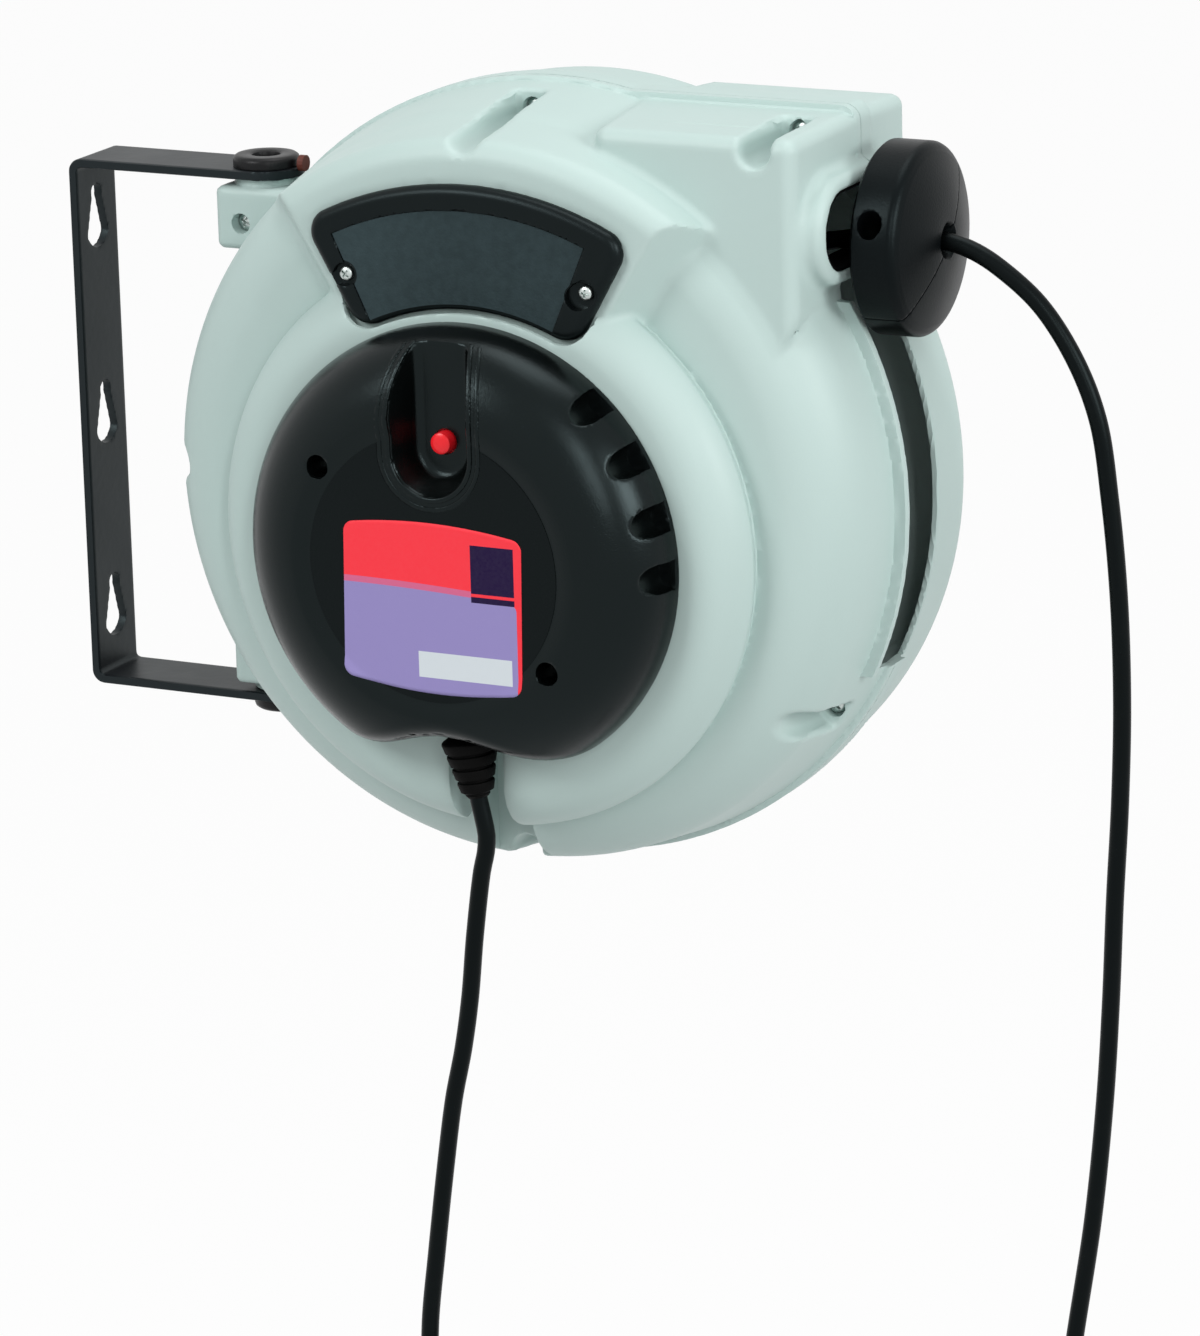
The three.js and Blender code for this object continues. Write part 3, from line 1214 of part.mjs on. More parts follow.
slipRingPlaces.forEach((_, i) => add(`brush_${i + 1}`, brush(i), "brass"));
add("main_shaft", mainShaft(), "steel");
add("shaft_nut", shaftNut(), "zinc");
add("drum_bush_front", bush(drumFrontFace - drumWall, drumFrontFace + 12), "insulator");
add("drum_bush_rear", bush(drumRearFace - 12, drumRearFace + drumWall), "insulator");
add("thermal_cutout", thermalCutout(), "insulator");
add("terminal_block", terminalBlock(), "insulator");
add("strain_relief", strainRelief(), "black");
add("mouth_guide", mouthGuide(), "black");
add("stop_half_front", stopHalf(1), "black");
add("stop_half_rear", stopHalf(-1), "black");
add("stop_screw_1", stopScrew(1), "zinc");
add("stop_screw_2", stopScrew(-1), "zinc");
add("feed_cable", feedCable(), "sheath");
add("outlet_cord", cordTube(outletRoute(), cordRadius, 34, 8), "sheath");
add("supply_cord", cordTube(supplyRoute(), cordRadius, 24, 8), "sheath");
add("supply_hank", supplyHank(), "sheath");
add("hank_tie", hankTie(), "black");
add("supply_plug", supplyPlug(), "black");
add("plug_pin_1", plugPin(-1), "zinc");
add("plug_pin_2", plugPin(1), "zinc");
add("outlet_socket", outletSocket(), "black");
casingScrews.forEach(([x, z], i) =>
  add(`casing_screw_${i + 1}`, screwY(x, z, troughEnd - 0.2, screwHeadRadius, 3.6, casingScrewRadius, 40), "zinc"));
[true, false].forEach((isTop) => {
  const [x, z] = lugScrewPlace(isTop);
  add(isTop ? "lug_screw_top" : "lug_screw_bottom", screwY(x, z, -lugHalf + 7.8, 4.4, 3, 2, 24), "zinc");
});
panelScrewPlaces().forEach(([x, z], i) =>
  add(i ? "arc_panel_screw_right" : "arc_panel_screw_left", screwY(x, z, -padDepth - 2.9, 3.5, 2.2, 1.6, 12), "zinc"));
coverScrewPlaces().forEach(([x, z], i) =>
  add(`cover_screw_${i + 1}`, screwY(x, z, -ringDepth - 12.3, 4, 3, 1.6, 24), "zinc"));
add("button_spring",
  coilSpring("button spring", wallToHub, hubHeight + buttonRise, pocketFloor + coverWall + 3.3, -ringDepth - gap - 6.8, 4.6, 0.45, 3), "steel");
const [springX, springZ] = polarHub(...pawlPivot);
add("pawl_spring",
  coilSpring("pawl spring", wallToHub + springX, hubHeight + springZ, pawlPost + 0.3, ratchetFront - 0.1, 4.6, 0.5, 3), "steel");

export default group;
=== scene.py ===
"""Wall-mounted extension cord reel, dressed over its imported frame."""

from __future__ import annotations

import logging
import math
from dataclasses import dataclass
from enum import Enum
from functools import reduce
from typing import Any, Callable, Sequence

import bpy
import numpy as np
from mathutils import Matrix, Vector

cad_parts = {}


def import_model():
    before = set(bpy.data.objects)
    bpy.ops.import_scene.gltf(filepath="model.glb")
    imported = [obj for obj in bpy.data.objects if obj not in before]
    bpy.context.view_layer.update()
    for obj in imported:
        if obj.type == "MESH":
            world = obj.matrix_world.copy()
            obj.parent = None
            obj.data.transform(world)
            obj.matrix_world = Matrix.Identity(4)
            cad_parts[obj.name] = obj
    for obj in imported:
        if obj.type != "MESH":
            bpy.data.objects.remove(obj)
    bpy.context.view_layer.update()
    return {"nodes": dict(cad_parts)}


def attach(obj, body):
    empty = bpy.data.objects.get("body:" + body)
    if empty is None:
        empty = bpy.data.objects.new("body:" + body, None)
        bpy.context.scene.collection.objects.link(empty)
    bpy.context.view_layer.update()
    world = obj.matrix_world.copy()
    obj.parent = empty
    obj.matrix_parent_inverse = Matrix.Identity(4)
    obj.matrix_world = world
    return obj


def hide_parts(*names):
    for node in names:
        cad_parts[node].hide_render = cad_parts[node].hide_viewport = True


log = logging.getLogger("reel")

MM = 0.001
HUB = (259.0, 30.0)  # the drum's axis, X and Z in millimetres
HUB_POINT = np.array([HUB[0], 0.0, HUB[1]])
CORD_RADIUS = 4.28

Array = np.ndarray
Colour = tuple[float, float, float]
Pairs = Sequence[tuple[float, float]]
Values = dict[Any, Any]


class Half(Enum):
    """A half of something split along Y; the value is its way along Y."""

    FRONT = -1
    REAR = 1


class End(Enum):
    """An end of the swivel's axis; the value is its way along Z."""

    TOP = 1
    BOTTOM = -1


# ---------------------------------------------------------------- shader maths
class Sock:
    """An output socket whose Python operators add Math nodes."""

    def __init__(self, net: "Net", link: Any) -> None:
        """Keep the node tree and the socket."""
        self.net = net
        self.link = link

    def _math(self, operation: str, *values: Any) -> "Sock":
        """Add one Math node.

        Args:
            operation: the node's operation.
            values: its inputs in order, numbers or sockets.

        Returns:
            The node's output.
        """
        return self.net.node("ShaderNodeMath", {"operation": operation}, dict(enumerate(values)))

    def __add__(self, other: Any) -> "Sock":
        """Sum."""
        return self._math("ADD", self, other)

    __radd__ = __add__

    def __sub__(self, other: Any) -> "Sock":
        """Difference."""
        return self._math("SUBTRACT", self, other)

    def __rsub__(self, other: Any) -> "Sock":
        """Reflected difference."""
        return self._math("SUBTRACT", other, self)

    def __mul__(self, other: Any) -> "Sock":
        """Product."""
        return self._math("MULTIPLY", self, other)

    __rmul__ = __mul__

    def __truediv__(self, other: Any) -> "Sock":
        """Quotient."""
        return self._math("DIVIDE", self, other)

    def over(self, edge: float) -> "Sock":
        """1 where the value is above the edge, else 0."""
        return self._math("GREATER_THAN", self, edge)

    def most(self, other: Any) -> "Sock":
        """The larger of two values."""
        return self._math("MAXIMUM", self, other)

    def ease(self, low: float, high: float) -> "Sock":
        """A smooth step.

        Args:
            low: where it leaves 0.
            high: where it reaches 1.

        Returns:
            The step's output.
        """
        return self.net.node(
            "ShaderNodeMapRange",
            {"interpolation_type": "SMOOTHSTEP", "clamp": True},
            {0: self, 1: low, 2: high, 3: 0.0, 4: 1.0},
        )


class Net:
    """A material's or a world's node tree with one method that adds any node."""

    def __init__(self, owner: bpy.types.Material | bpy.types.World) -> None:
        """Empty the owner's node tree.

        Args:
            owner: the material or world that holds the tree.
        """
        self.owner = owner
        owner.use_nodes = True
        self.tree = owner.node_tree
        self.tree.nodes.clear()

    def node(self, kind: str, settings: Values | None = None, values: Values | None = None,
             out: Any = 0) -> Sock:
        """Add a node, set it up, then fill or link its sockets.

        Args:
            kind: the node's type name.
            settings: properties set first.
            values: sockets by name or place, as numbers, colours or Sock.
            out: which output is returned.

        Returns:
            The chosen output.
        """
        made = self.tree.nodes.new(kind)
        for key, value in (settings or {}).items():
            setattr(made, key, value)
        for key, value in (values or {}).items():
            socket = made.inputs[key]
            if isinstance(value, Sock):
                self.tree.links.new(value.link, socket)
            elif socket.type == "RGBA" and len(value) == 3:
                socket.default_value = (*value, 1.0)
            else:
                socket.default_value = value
        return Sock(self, made.outputs[out] if made.outputs else None)

    def place(self) -> Sock:
        """Object coordinates, in metres."""
        return self.node("ShaderNodeTexCoord", out="Object")

    def along(self, axis: str) -> Sock:
        """One of the object coordinates."""
        return self.node("ShaderNodeSeparateXYZ", None, {0: self.place()}, out=axis)

    def noise(self, scale: float, detail: float = 3.0, rough: float = 0.5,
              squeeze: Colour | None = None) -> Sock:
        """Noise from 0 to 1 on object coordinates.

        Args:
            scale: features per metre.
            detail: octaves.
            rough: how strong the fine octaves are.
            squeeze: a scale for each axis, for drawn-out grain.

        Returns:
            The noise value.
        """
        at = self.place()
        if squeeze is not None:
            at = self.node("ShaderNodeMapping", None, {"Vector": at, "Scale": squeeze})
        values = {"Vector": at, "Scale": scale, "Detail": detail, "Roughness": rough}
        return self.node("ShaderNodeTexNoise", {"noise_dimensions": "3D"}, values)

    def blend(self, part: Any, first: Any, second: Any) -> Sock:
        """A colour mixed from two, by a part from 0 to 1."""
        return self.node("ShaderNodeMix", {"data_type": "RGBA"}, {0: part, 6: first, 7: second}, out=2)

    def bump(self, height: Sock, depth: float) -> Sock:
        """A normal from a height from 0 to 1 and its depth in metres."""
        return self.node("ShaderNodeBump", None, {"Strength": 1.0, "Distance": depth, "Height": height})

    def seen(self) -> Sock:
        """1 for rays from the camera, off gloss and through glass, else 0."""
        camera, gloss, glass = (self.ray(kind) for kind in ("Camera", "Glossy", "Transmission"))
        return camera.most(gloss.most(glass))

    def ray(self, kind: str) -> Sock:
        """1 for rays of a kind, else 0."""
        return self.node("ShaderNodeLightPath", out=f"Is {kind} Ray")

    def finish(self, colour: Any, roughness: Any, metallic: float = 0.0, normal: Sock | None = None,
               **plain: Any) -> bpy.types.Material:
        """Close a material's tree with a Principled shader.

        Args:
            colour: base colour or a colour socket.
            roughness: number or socket.
            metallic: plain number.
            normal: bump output.
            plain: other sockets by their name, as plain numbers.

        Returns:
            The finished material.
        """
        values: Values = {"Base Color": colour, "Roughness": roughness, "Metallic": metallic}
        if normal is not None:
            values["Normal"] = normal
        values.update({key.replace("_", " "): value for key, value in plain.items()})
        shader = self.node("ShaderNodeBsdfPrincipled", None, values)
        self.node("ShaderNodeOutputMaterial", None, {0: shader})
        return self.owner


# ---------------------------------------------------------------- finishes
_made: dict[str, bpy.types.Material] = {}


class Finish:
    """A finish that makes its material once."""

    name: str

    def build(self) -> bpy.types.Material:
        """Make the material."""
        raise NotImplementedError

    def net(self) -> Net:
        """The node tree of a new material of this name."""
        return Net(bpy.data.materials.new(self.name))

    def material(self) -> bpy.types.Material:
        """The material, made at its first use.

        Returns:
            The one material of this finish.
        """
        if self.name not in _made:
            _made[self.name] = self.build()
        return _made[self.name]

    def dress(self, *pieces: bpy.types.Object) -> None:
        """Put the material on pieces or CAD nodes.

        Args:
            pieces: the objects to dress.
        """
        for piece in pieces:
            if not piece.material_slots:
                piece.data.materials.append(self.material())
            for held in piece.material_slots:
                held.material = self.material()


def scaled(colour: Colour, by: float, plus: float = 0.0) -> Colour:
    """A colour made darker or lighter, with each part kept at 1 or less."""
    return tuple(min(1.0, c * by + plus) for c in colour)


COOL_GLOSS: Colour = (0.74, 0.97, 1.0)


@dataclass(frozen=True)
class MouldedPlastic(Finish):
    """Moulded plastic with a fine pebbled surface and faint flow marks.

    The scales are features per metre, and the depth is in metres.
    """

    name: str
    colour: Colour
    roughness: float
    grain: float = 900.0
    depth: float = 0.00006
    mottle: float = 0.05
    shine: float = 0.3
    tint: Colour = (1.0, 1.0, 1.0)
    flow: float = 9.0
    scuff: float = 40.0
    scuff_spread: float = 0.12

    def build(self) -> bpy.types.Material:
        """Colour drifts slowly, fine pebbles raise the surface and scatter the gloss.

        Returns:
            The material.
        """
        net = self.net()
        drift = net.noise(self.flow, 2.0)
        fine = net.noise(self.grain * 0.35, 2.0)
        dark, light = scaled(self.colour, 1 - self.mottle), scaled(self.colour, 1 + self.mottle)
        colour = net.blend(drift * 0.7 + fine * 0.3, dark, light)
        rough = net.noise(self.scuff, 3.0) * self.scuff_spread + (self.roughness - self.scuff_spread / 2)
        pebbles = net.bump(net.noise(self.grain, 2.5, 0.55), self.depth)
        return net.finish(colour, rough, 0.0, pebbles, Specular_IOR_Level=self.shine, Specular_Tint=self.tint)


@dataclass(frozen=True)
class PowderCoat(Finish):
    """Black powder coat on steel: glossy with a faint orange peel."""

    name: str
    colour: Colour
    roughness: float = 0.43
    peel: float = 220.0
    peel_depth: float = 0.00008
    speck: float = 60.0
    shine: float = 0.28

    def build(self) -> bpy.types.Material:
        """Slow waves bend the gloss, and small specks break it.

        Returns:
            The material.
        """
        net = self.net()
        peel = net.noise(self.peel, 2.0, 0.4)
        rough = net.noise(25.0, 3.0) * 0.12 + (self.roughness - 0.05)
        colour = net.blend(net.noise(self.speck, 3.0), self.colour, scaled(self.colour, 1.5))
        normal = net.bump(peel, self.peel_depth)
        return net.finish(colour, rough, 0.0, normal, Specular_IOR_Level=self.shine, Specular_Tint=COOL_GLOSS)


@dataclass(frozen=True)
class PlatedMetal(Finish):
    """Plated or bright metal with fine drawn scratches."""

    name: str
    colour: Colour
    roughness: float = 0.3
    scratch: float = 400.0
    scratch_depth: float = 0.00002
    drawn: Colour = (1.0, 0.12, 1.0)
    cloud: float = 120.0

    def build(self) -> bpy.types.Material:
        """Drawn-out noise marks the gloss and the colour.

        Returns:
            The material.
        """
        net = self.net()
        lines = net.noise(self.scratch, 3.0, 0.6, self.drawn)
        rough = lines * 0.2 + (self.roughness - 0.08)
        colour = net.blend(net.noise(self.cloud, 3.0), scaled(self.colour, 0.8), self.colour)
        return net.finish(colour, rough, 1.0, net.bump(lines, self.scratch_depth))


@dataclass(frozen=True)
class RubberSheath(Finish):
    """Soft rubber: matt, with fine streaks and pale dust."""

    name: str
    colour: Colour
    roughness: float = 0.34
    streaks: Colour = (1.0, 1.0, 0.15)
    streak: float = 260.0
    streak_depth: float = 0.00005
    dust: float = 55.0
    shine: float = 0.10

    def build(self) -> bpy.types.Material:
        """Streaks run along the cord, and dust lightens it in spots.

        Returns:
            The material.
        """
        net = self.net()
        streak = net.noise(self.streak, 3.0, 0.6, self.streaks)
        dust = net.noise(self.dust, 4.0, 0.65).ease(0.55, 0.85)
        colour = net.blend(dust * 0.35, self.colour, scaled(self.colour, 3.2, 0.003))
        rough = streak * 0.14 + (self.roughness - 0.07)
        normal = net.bump(streak, self.streak_depth)
        return net.finish(colour, rough, 0.0, normal, Specular_IOR_Level=self.shine, Specular_Tint=COOL_GLOSS)


def shown(*levels: int) -> Colour:
    """A linear colour from the three 0 to 255 levels that it shows as."""
    return tuple(((c / 255 + 0.055) / 1.055) ** 2.4 if c > 10 else c / 255 / 12.92 for c in levels)


@dataclass(frozen=True)
class Sticker(Finish):
    """Printed film in plain blocks of colour: red over violet, a navy block and an empty white box.

    Each block is a product of steps along X and Z, in millimetres from the drum's axis, and a
    block's four values are its left, right, lower and upper edge.
    """

    name: str
    red: Colour = shown(246, 58, 70)
    violet: Colour = shown(146, 136, 190)
    navy: Colour = shown(27, 8, 55)
    white: Colour = shown(208, 216, 221)
    navy_block: tuple[float, ...] = (20.2, 42.5, -9.4, 13.6)
    navy_line: tuple[float, ...] = (20.2, 42.6, -13.7, -10.9)
    white_block: tuple[float, ...] = (-8.2, 40.5, -52.0, -39.6)
    violet_right: float = 40.3
    corner: float = 3.2
    fade: float = 3.0
    shine: float = 0.08

    def build(self) -> bpy.types.Material:
        """Lay the blocks over each other, with a faint print grain.

        The violet's upper edge falls as the square of the way from the left, and its right
        upper corner is a quarter circle.

        Returns:
            The material.
        """
        net = self.net()
        x = net.along("X") * 1000 - HUB[0]
        z = net.along("Z") * 1000 - HUB[1]
        fall = (x + 45) / 88
        edge = fall * fall * -3.7 - 9.4

        def block(x0: float, x1: float, z0: float, z1: float) -> Sock:
            """1 inside a block, else 0."""
            return x.over(x0) * (1 - x.over(x1)) * z.over(z0) * (1 - z.over(z1))

        side = (x - self.violet_right).most(0.0)
        rise = (z - edge + self.corner).most(0.0)
        lower = 1 - (side * side + rise * rise).over(self.corner**2)
        above = (z - edge).over(0.0) * (1 - (z - edge).over(self.fade))
        band = above * (1 - x.over(self.navy_block[0]))
        colour = net.blend(lower, self.red, self.violet)
        colour = net.blend(band * 0.45, colour, self.violet)
        colour = net.blend(block(*self.navy_block).most(block(*self.navy_line)), colour, self.navy)
        colour = net.blend(block(*self.white_block), colour, self.white)
        grain = net.noise(700.0, 2.0)
        colour = net.blend(grain * 0.03, colour, (0.5, 0.5, 0.5))
        rough = net.noise(90.0, 3.0) * 0.14 + 0.33
        return net.finish(colour, rough, 0.0, net.bump(grain, 0.00001), Specular_IOR_Level=self.shine)


CASING_GREY = MouldedPlastic(
    "casing_grey", (0.455, 0.575, 0.550), 0.44, grain=1100.0, depth=0.00003, mottle=0.02, shine=0.25)
BLACK_PLASTIC = MouldedPlastic(
    "black_plastic", (0.0030, 0.0033, 0.0038), 0.38, grain=950.0, depth=0.00010, mottle=0.10, shine=0.20)
COVER_BLACK = MouldedPlastic(
    "cover_black", (0.0014, 0.0020, 0.0020), 0.22, 1500.0, 0.00008, mottle=0.10, shine=0.20, tint=COOL_GLOSS)
MIDDLE_BLACK = MouldedPlastic(
    "middle_black", (0.0030, 0.0040, 0.0042), 0.50, 800.0, 0.00016, mottle=0.15, shine=0.10, tint=COOL_GLOSS)
FRAME_BLACK = MouldedPlastic(
    "frame_black", (0.0018, 0.0026, 0.0028), 0.34, 1300.0, 0.00006, mottle=0.10, shine=0.16, tint=COOL_GLOSS)
PANEL_BLACK = MouldedPlastic(
    "panel_black", (0.0250, 0.0390, 0.0430), 0.44, 650.0, 0.00026, mottle=0.85, shine=0.14, tint=COOL_GLOSS)
STOP_BLACK = MouldedPlastic(
    "stop_black", (0.0014, 0.0019, 0.0023), 0.36, 1000.0, 0.00008, mottle=0.12, shine=0.10, tint=COOL_GLOSS)
RELIEF_BLACK = MouldedPlastic(
    "relief_black", (0.0018, 0.0018, 0.0018), 0.6, 900.0, 0.00008, mottle=0.12, shine=0.06)
BUTTON_RED = MouldedPlastic("button_red", (0.93, 0.013, 0.022), 0.28, 500.0, 0.00001, shine=0.4)
BRACKET_BLACK = PowderCoat("bracket_black", (0.0026, 0.0030, 0.0040))
BUFFER_BROWN = MouldedPlastic("buffer_brown", (0.10, 0.022, 0.014), 0.55, 700.0, 0.00005, mottle=0.15)
STICKER = Sticker("sticker_film")
ZINC = PlatedMetal("zinc", (0.60, 0.66, 0.64), 0.34)
BRIGHT_STEEL = PlatedMetal("bright_steel", (0.42, 0.43, 0.44), 0.32)
BRASS = PlatedMetal("brass", (0.66, 0.44, 0.14), 0.28)
CORD_BLACK = RubberSheath("cord_black", (0.0014, 0.0017, 0.0018))
RESIN_BROWN = MouldedPlastic("resin_brown", (0.14, 0.085, 0.05), 0.5, 600.0, 0.00005, mottle=0.2)


# ---------------------------------------------------------------- meshes
def put_mesh(name: str, points: Array, faces: Sequence[Sequence[int]] | Array,
             smooth: bool = True) -> bpy.types.Object:
    """Make an object from millimetre points and faces.

    Args:
        name: the piece's name.
        points: (n, 3) array in millimetres.
        faces: corner numbers of each face.
        smooth: whether shading is smooth.

    Returns:
        The linked object, at the origin.
    """
    mesh = bpy.data.meshes.new(name)
    rows = faces.tolist() if isinstance(faces, Array) else faces
    mesh.from_pydata((np.asarray(points, float) * MM).tolist(), [], rows)
    mesh.update()
    mesh.validate()
    if smooth:
        mesh.shade_smooth()
    piece = bpy.data.objects.new(name, mesh)
    bpy.context.scene.collection.objects.link(piece)
    return piece


def grid_faces(rows: int, columns: int, wrap: bool) -> Array:
    """Quads between neighbouring points of a grid.

    Args:
        rows: how many rows of points.
        columns: how many points a row has.
        wrap: whether the columns close into a ring.

    Returns:
        (n, 4) corner numbers.
    """
    across = columns if wrap else columns - 1
    r, c = np.meshgrid(np.arange(rows - 1), np.arange(across), indexing="ij")
    a = (r * columns + c).ravel()
    b = (r * columns + (c + 1) % columns).ravel()
    return np.stack([a, b, b + columns, a + columns], axis=1)


def capped(rows: int, sides: int) -> list[list[int]]:
    """Faces of a closed tube: rings of points, then the first and the last middle point.

    Args:
        rows: how many rings there are.
        sides: how many points a ring has.

    Returns:
        The wall's quads and each end's triangles.
    """
    first, last, base = rows * sides, rows * sides + 1, (rows - 1) * sides
    one = np.arange(sides)
    two = (one + 1) % sides
    start = np.column_stack([np.full(sides, first), two, one])
    end = np.column_stack([np.full(sides, last), base + one, base + two])
    return [*grid_faces(rows, sides, True).tolist(), *start.tolist(), *end.tolist()]


def tube(name: str, line: Array, radius: float, sides: int = 24) -> bpy.types.Object:
    """A round tube along a line, closed at both ends.

    The section at each point is a circle in the plane square to the line: point plus radius
    times (cos, sin) of the turn in a frame carried along without twist.

    Args:
        name: the piece's name.
        line: (n, 3) points in millimetres.
        radius: the section's radius.
        sides: points round the section.

    Returns:
        The tube.
    """
    ahead = np.gradient(line, axis=0)
    ahead /= np.linalg.norm(ahead, axis=1, keepdims=True)
    side = np.zeros_like(line)
    start = np.cross(ahead[0], [0.3, 0.9, 0.2])
    side[0] = start / np.linalg.norm(start)
    for i in range(1, len(line)):
        kept = side[i - 1] - ahead[i] * np.dot(side[i - 1], ahead[i])
        side[i] = kept / np.linalg.norm(kept)
    other = np.cross(ahead, side)
    turn = np.linspace(0, 2 * np.pi, sides, endpoint=False)[None, :, None]
    ring = np.cos(turn) * side[:, None, :] + np.sin(turn) * other[:, None, :]
    points = (line[:, None, :] + radius * ring).reshape(-1, 3)
    return put_mesh(name, np.vstack([points, line[:1], line[-1:]]), capped(len(line), sides))


def smooth_line(route: Sequence[Sequence[float]], spacing: float = 3.0) -> Array:
    """A centripetal Catmull-Rom curve through the route's points.

    Between two points the curve is the usual blend of the four nearest points, whose
    parameters differ by the square root of the distance between them.

    Args:
        route: points in millimetres.
        spacing: about how far apart the result's points are.

    Returns:
        (n, 3) points.
    """
    p = np.asarray(route, float)
    p = np.vstack([2 * p[0] - p[1], p, 2 * p[-1] - p[-2]])
    out = []
    for i in range(1, len(p) - 2):
        p0, p1, p2, p3 = p[i - 1 : i + 3]
        t0 = 0.0
        t1 = t0 + np.linalg.norm(p1 - p0) ** 0.5
        t2 = t1 + np.linalg.norm(p2 - p1) ** 0.5
        t3 = t2 + np.linalg.norm(p3 - p2) ** 0.5
        count = max(2, int(np.linalg.norm(p2 - p1) / spacing))
        t = np.linspace(t1, t2, count, endpoint=False)[:, None]
        a1 = (t1 - t) / (t1 - t0) * p0 + (t - t0) / (t1 - t0) * p1
        a2 = (t2 - t) / (t2 - t1) * p1 + (t - t1) / (t2 - t1) * p2
        a3 = (t3 - t) / (t3 - t2) * p2 + (t - t2) / (t3 - t2) * p3
        b1 = (t2 - t) / (t2 - t0) * a1 + (t - t0) / (t2 - t0) * a2
        b2 = (t3 - t) / (t3 - t1) * a2 + (t - t1) / (t3 - t1) * a3
        out.append((t2 - t) / (t2 - t1) * b1 + (t - t1) / (t2 - t1) * b2)
    out.append(p[-2:-1])
    return np.vstack(out)


def length_of(line: Array) -> float:
    """A line's length."""
    return float(np.linalg.norm(np.diff(line, axis=0), axis=1).sum())


def at_hub(x: float, y: float, z: float) -> tuple[float, float, float]:
    """A point given from the drum's axis, in the part's frame."""
    return (HUB[0] + x, y, HUB[1] + z)


def polar(radius: float, degrees: float) -> tuple[float, float]:
    """A place (x, z) at a radius and an angle from +Z towards +X."""
    return radius * math.sin(math.radians(degrees)), radius * math.cos(math.radians(degrees))


# ---------------------------------------------------------------- carved forms
class Form:
    """A solid told by a distance in millimetres: below zero inside, above zero outside.

    Places are taken from the drum's axis: x across, y towards the rear, z up.
    """

    def __init__(self, far: Callable[[Array, Array, Array], Array]) -> None:
        """Keep the distance."""
        self.far = far

    def join(self, other: "Form", round_: float = 0.0) -> "Form":
        """Both solids, with a hollow fillet where they meet.

        With a fillet, the distance is the larger of its radius and the lesser distance, less
        the length of both distances' shortfalls from the radius.

        Args:
            other: the second solid.
            round_: the fillet's radius.

        Returns:
            The joined solid.
        """

        def far(x: Array, y: Array, z: Array) -> Array:
            """The joined distance."""
            a, b = self.far(x, y, z), other.far(x, y, z)
            if round_ <= 0:
                return np.minimum(a, b)
            short = np.hypot(np.maximum(round_ - a, 0), np.maximum(round_ - b, 0))
            return np.maximum(round_, np.minimum(a, b)) - short

        return Form(far)

    def inverse(self) -> "Form":
        """Everything outside the solid."""
        return Form(lambda x, y, z: -self.far(x, y, z))

    def keep(self, other: "Form", round_: float = 0.0) -> "Form":
        """The part that lies in both solids, with its new edges rounded."""
        return self.inverse().join(other.inverse(), round_).inverse()

    def cut(self, other: "Form", round_: float = 0.0) -> "Form":
        """This solid without the other, with rounded edges."""
        return self.inverse().join(other, round_).inverse()

    def grow(self, by: float) -> "Form":
        """The solid with its surface moved out by a distance."""
        return Form(lambda x, y, z: self.far(x, y, z) - by)

    def at(self, dx: float = 0.0, dy: float = 0.0, dz: float = 0.0) -> "Form":
        """The solid moved."""
        return Form(lambda x, y, z: self.far(x - dx, y - dy, z - dz))

    def tipped(self, degrees: float) -> "Form":
        """The solid turned about X, so that its +Z leans towards -Y by the angle."""
        c, s = math.cos(math.radians(degrees)), math.sin(math.radians(degrees))
        return Form(lambda x, y, z: self.far(x, y * c + z * s, z * c - y * s))

    def swung(self, degrees: float) -> "Form":
        """The solid turned about Y, from +Z towards +X by the angle."""
        c, s = math.cos(math.radians(degrees)), math.sin(math.radians(degrees))
        return Form(lambda x, y, z: self.far(x * c - z * s, y, z * c + x * s))


def joined(forms: Sequence[Form]) -> Form:
    """All the solids as one."""
    return reduce(Form.join, forms)


def beyond(place: Array, low: float, high: float) -> Array:
    """How far a place lies outside a span, below zero inside it."""
    return np.abs(place - (low + high) / 2) - (high - low) / 2


def slope(x: float, y: float, z: float, reach: float) -> Form:
    """Everything on the near side of a plane: its outward direction and its distance from the axis."""
    size = math.sqrt(x * x + y * y + z * z)
    return Form(lambda px, py, pz: (px * x + py * y + pz * z) / size - reach)


def box(x0: float, x1: float, y0: float, y1: float, z0: float, z1: float, round_: float = 0.0) -> Form:
    """A block between two places on each axis, with rounded edges.

    Outside, the distance is the length of the three overshoots, and inside the largest of
    them, both taken from a block that is smaller all round by the radius.

    Args:
        x0, x1, y0, y1, z0, z1: its lower and upper place on each axis.
        round_: the edges' radius.

    Returns:
        The block.
    """

    def far(x: Array, y: Array, z: Array) -> Array:
        """The block's distance."""
        a, b, c = (beyond(p, *span) + round_ for p, span in ((x, (x0, x1)), (y, (y0, y1)), (z, (z0, z1))))
        out = np.sqrt(np.maximum(a, 0) ** 2 + np.maximum(b, 0) ** 2 + np.maximum(c, 0) ** 2)
        return out + np.minimum(np.maximum(a, np.maximum(b, c)), 0) - round_

    return Form(far)


def on_axis(axis: str, x: Array, y: Array, z: Array) -> tuple[Array, Array]:
    """Each place's distance from an axis, and its place along it."""
    u, v, w = {"x": (y, z, x), "y": (x, z, y), "z": (x, y, z)}[axis]
    return np.hypot(u, v), w


def rod(axis: str, radius: float, low: float, high: float, round_: float = 0.0) -> Form:
    """A cylinder along an axis, by the same sum as a block with the radius for one side.

    Args:
        axis: x, y or z.
        radius: its radius.
        low: where it starts along the axis.
        high: where it ends.
        round_: the rims' radius.

    Returns:
        The cylinder.
    """

    def far(x: Array, y: Array, z: Array) -> Array:
        """The cylinder's distance."""
        away, along = on_axis(axis, x, y, z)
        a = away - radius + round_
        b = beyond(along, low, high) + round_
        return np.hypot(np.maximum(a, 0), np.maximum(b, 0)) + np.minimum(np.maximum(a, b), 0) - round_

    return Form(far)


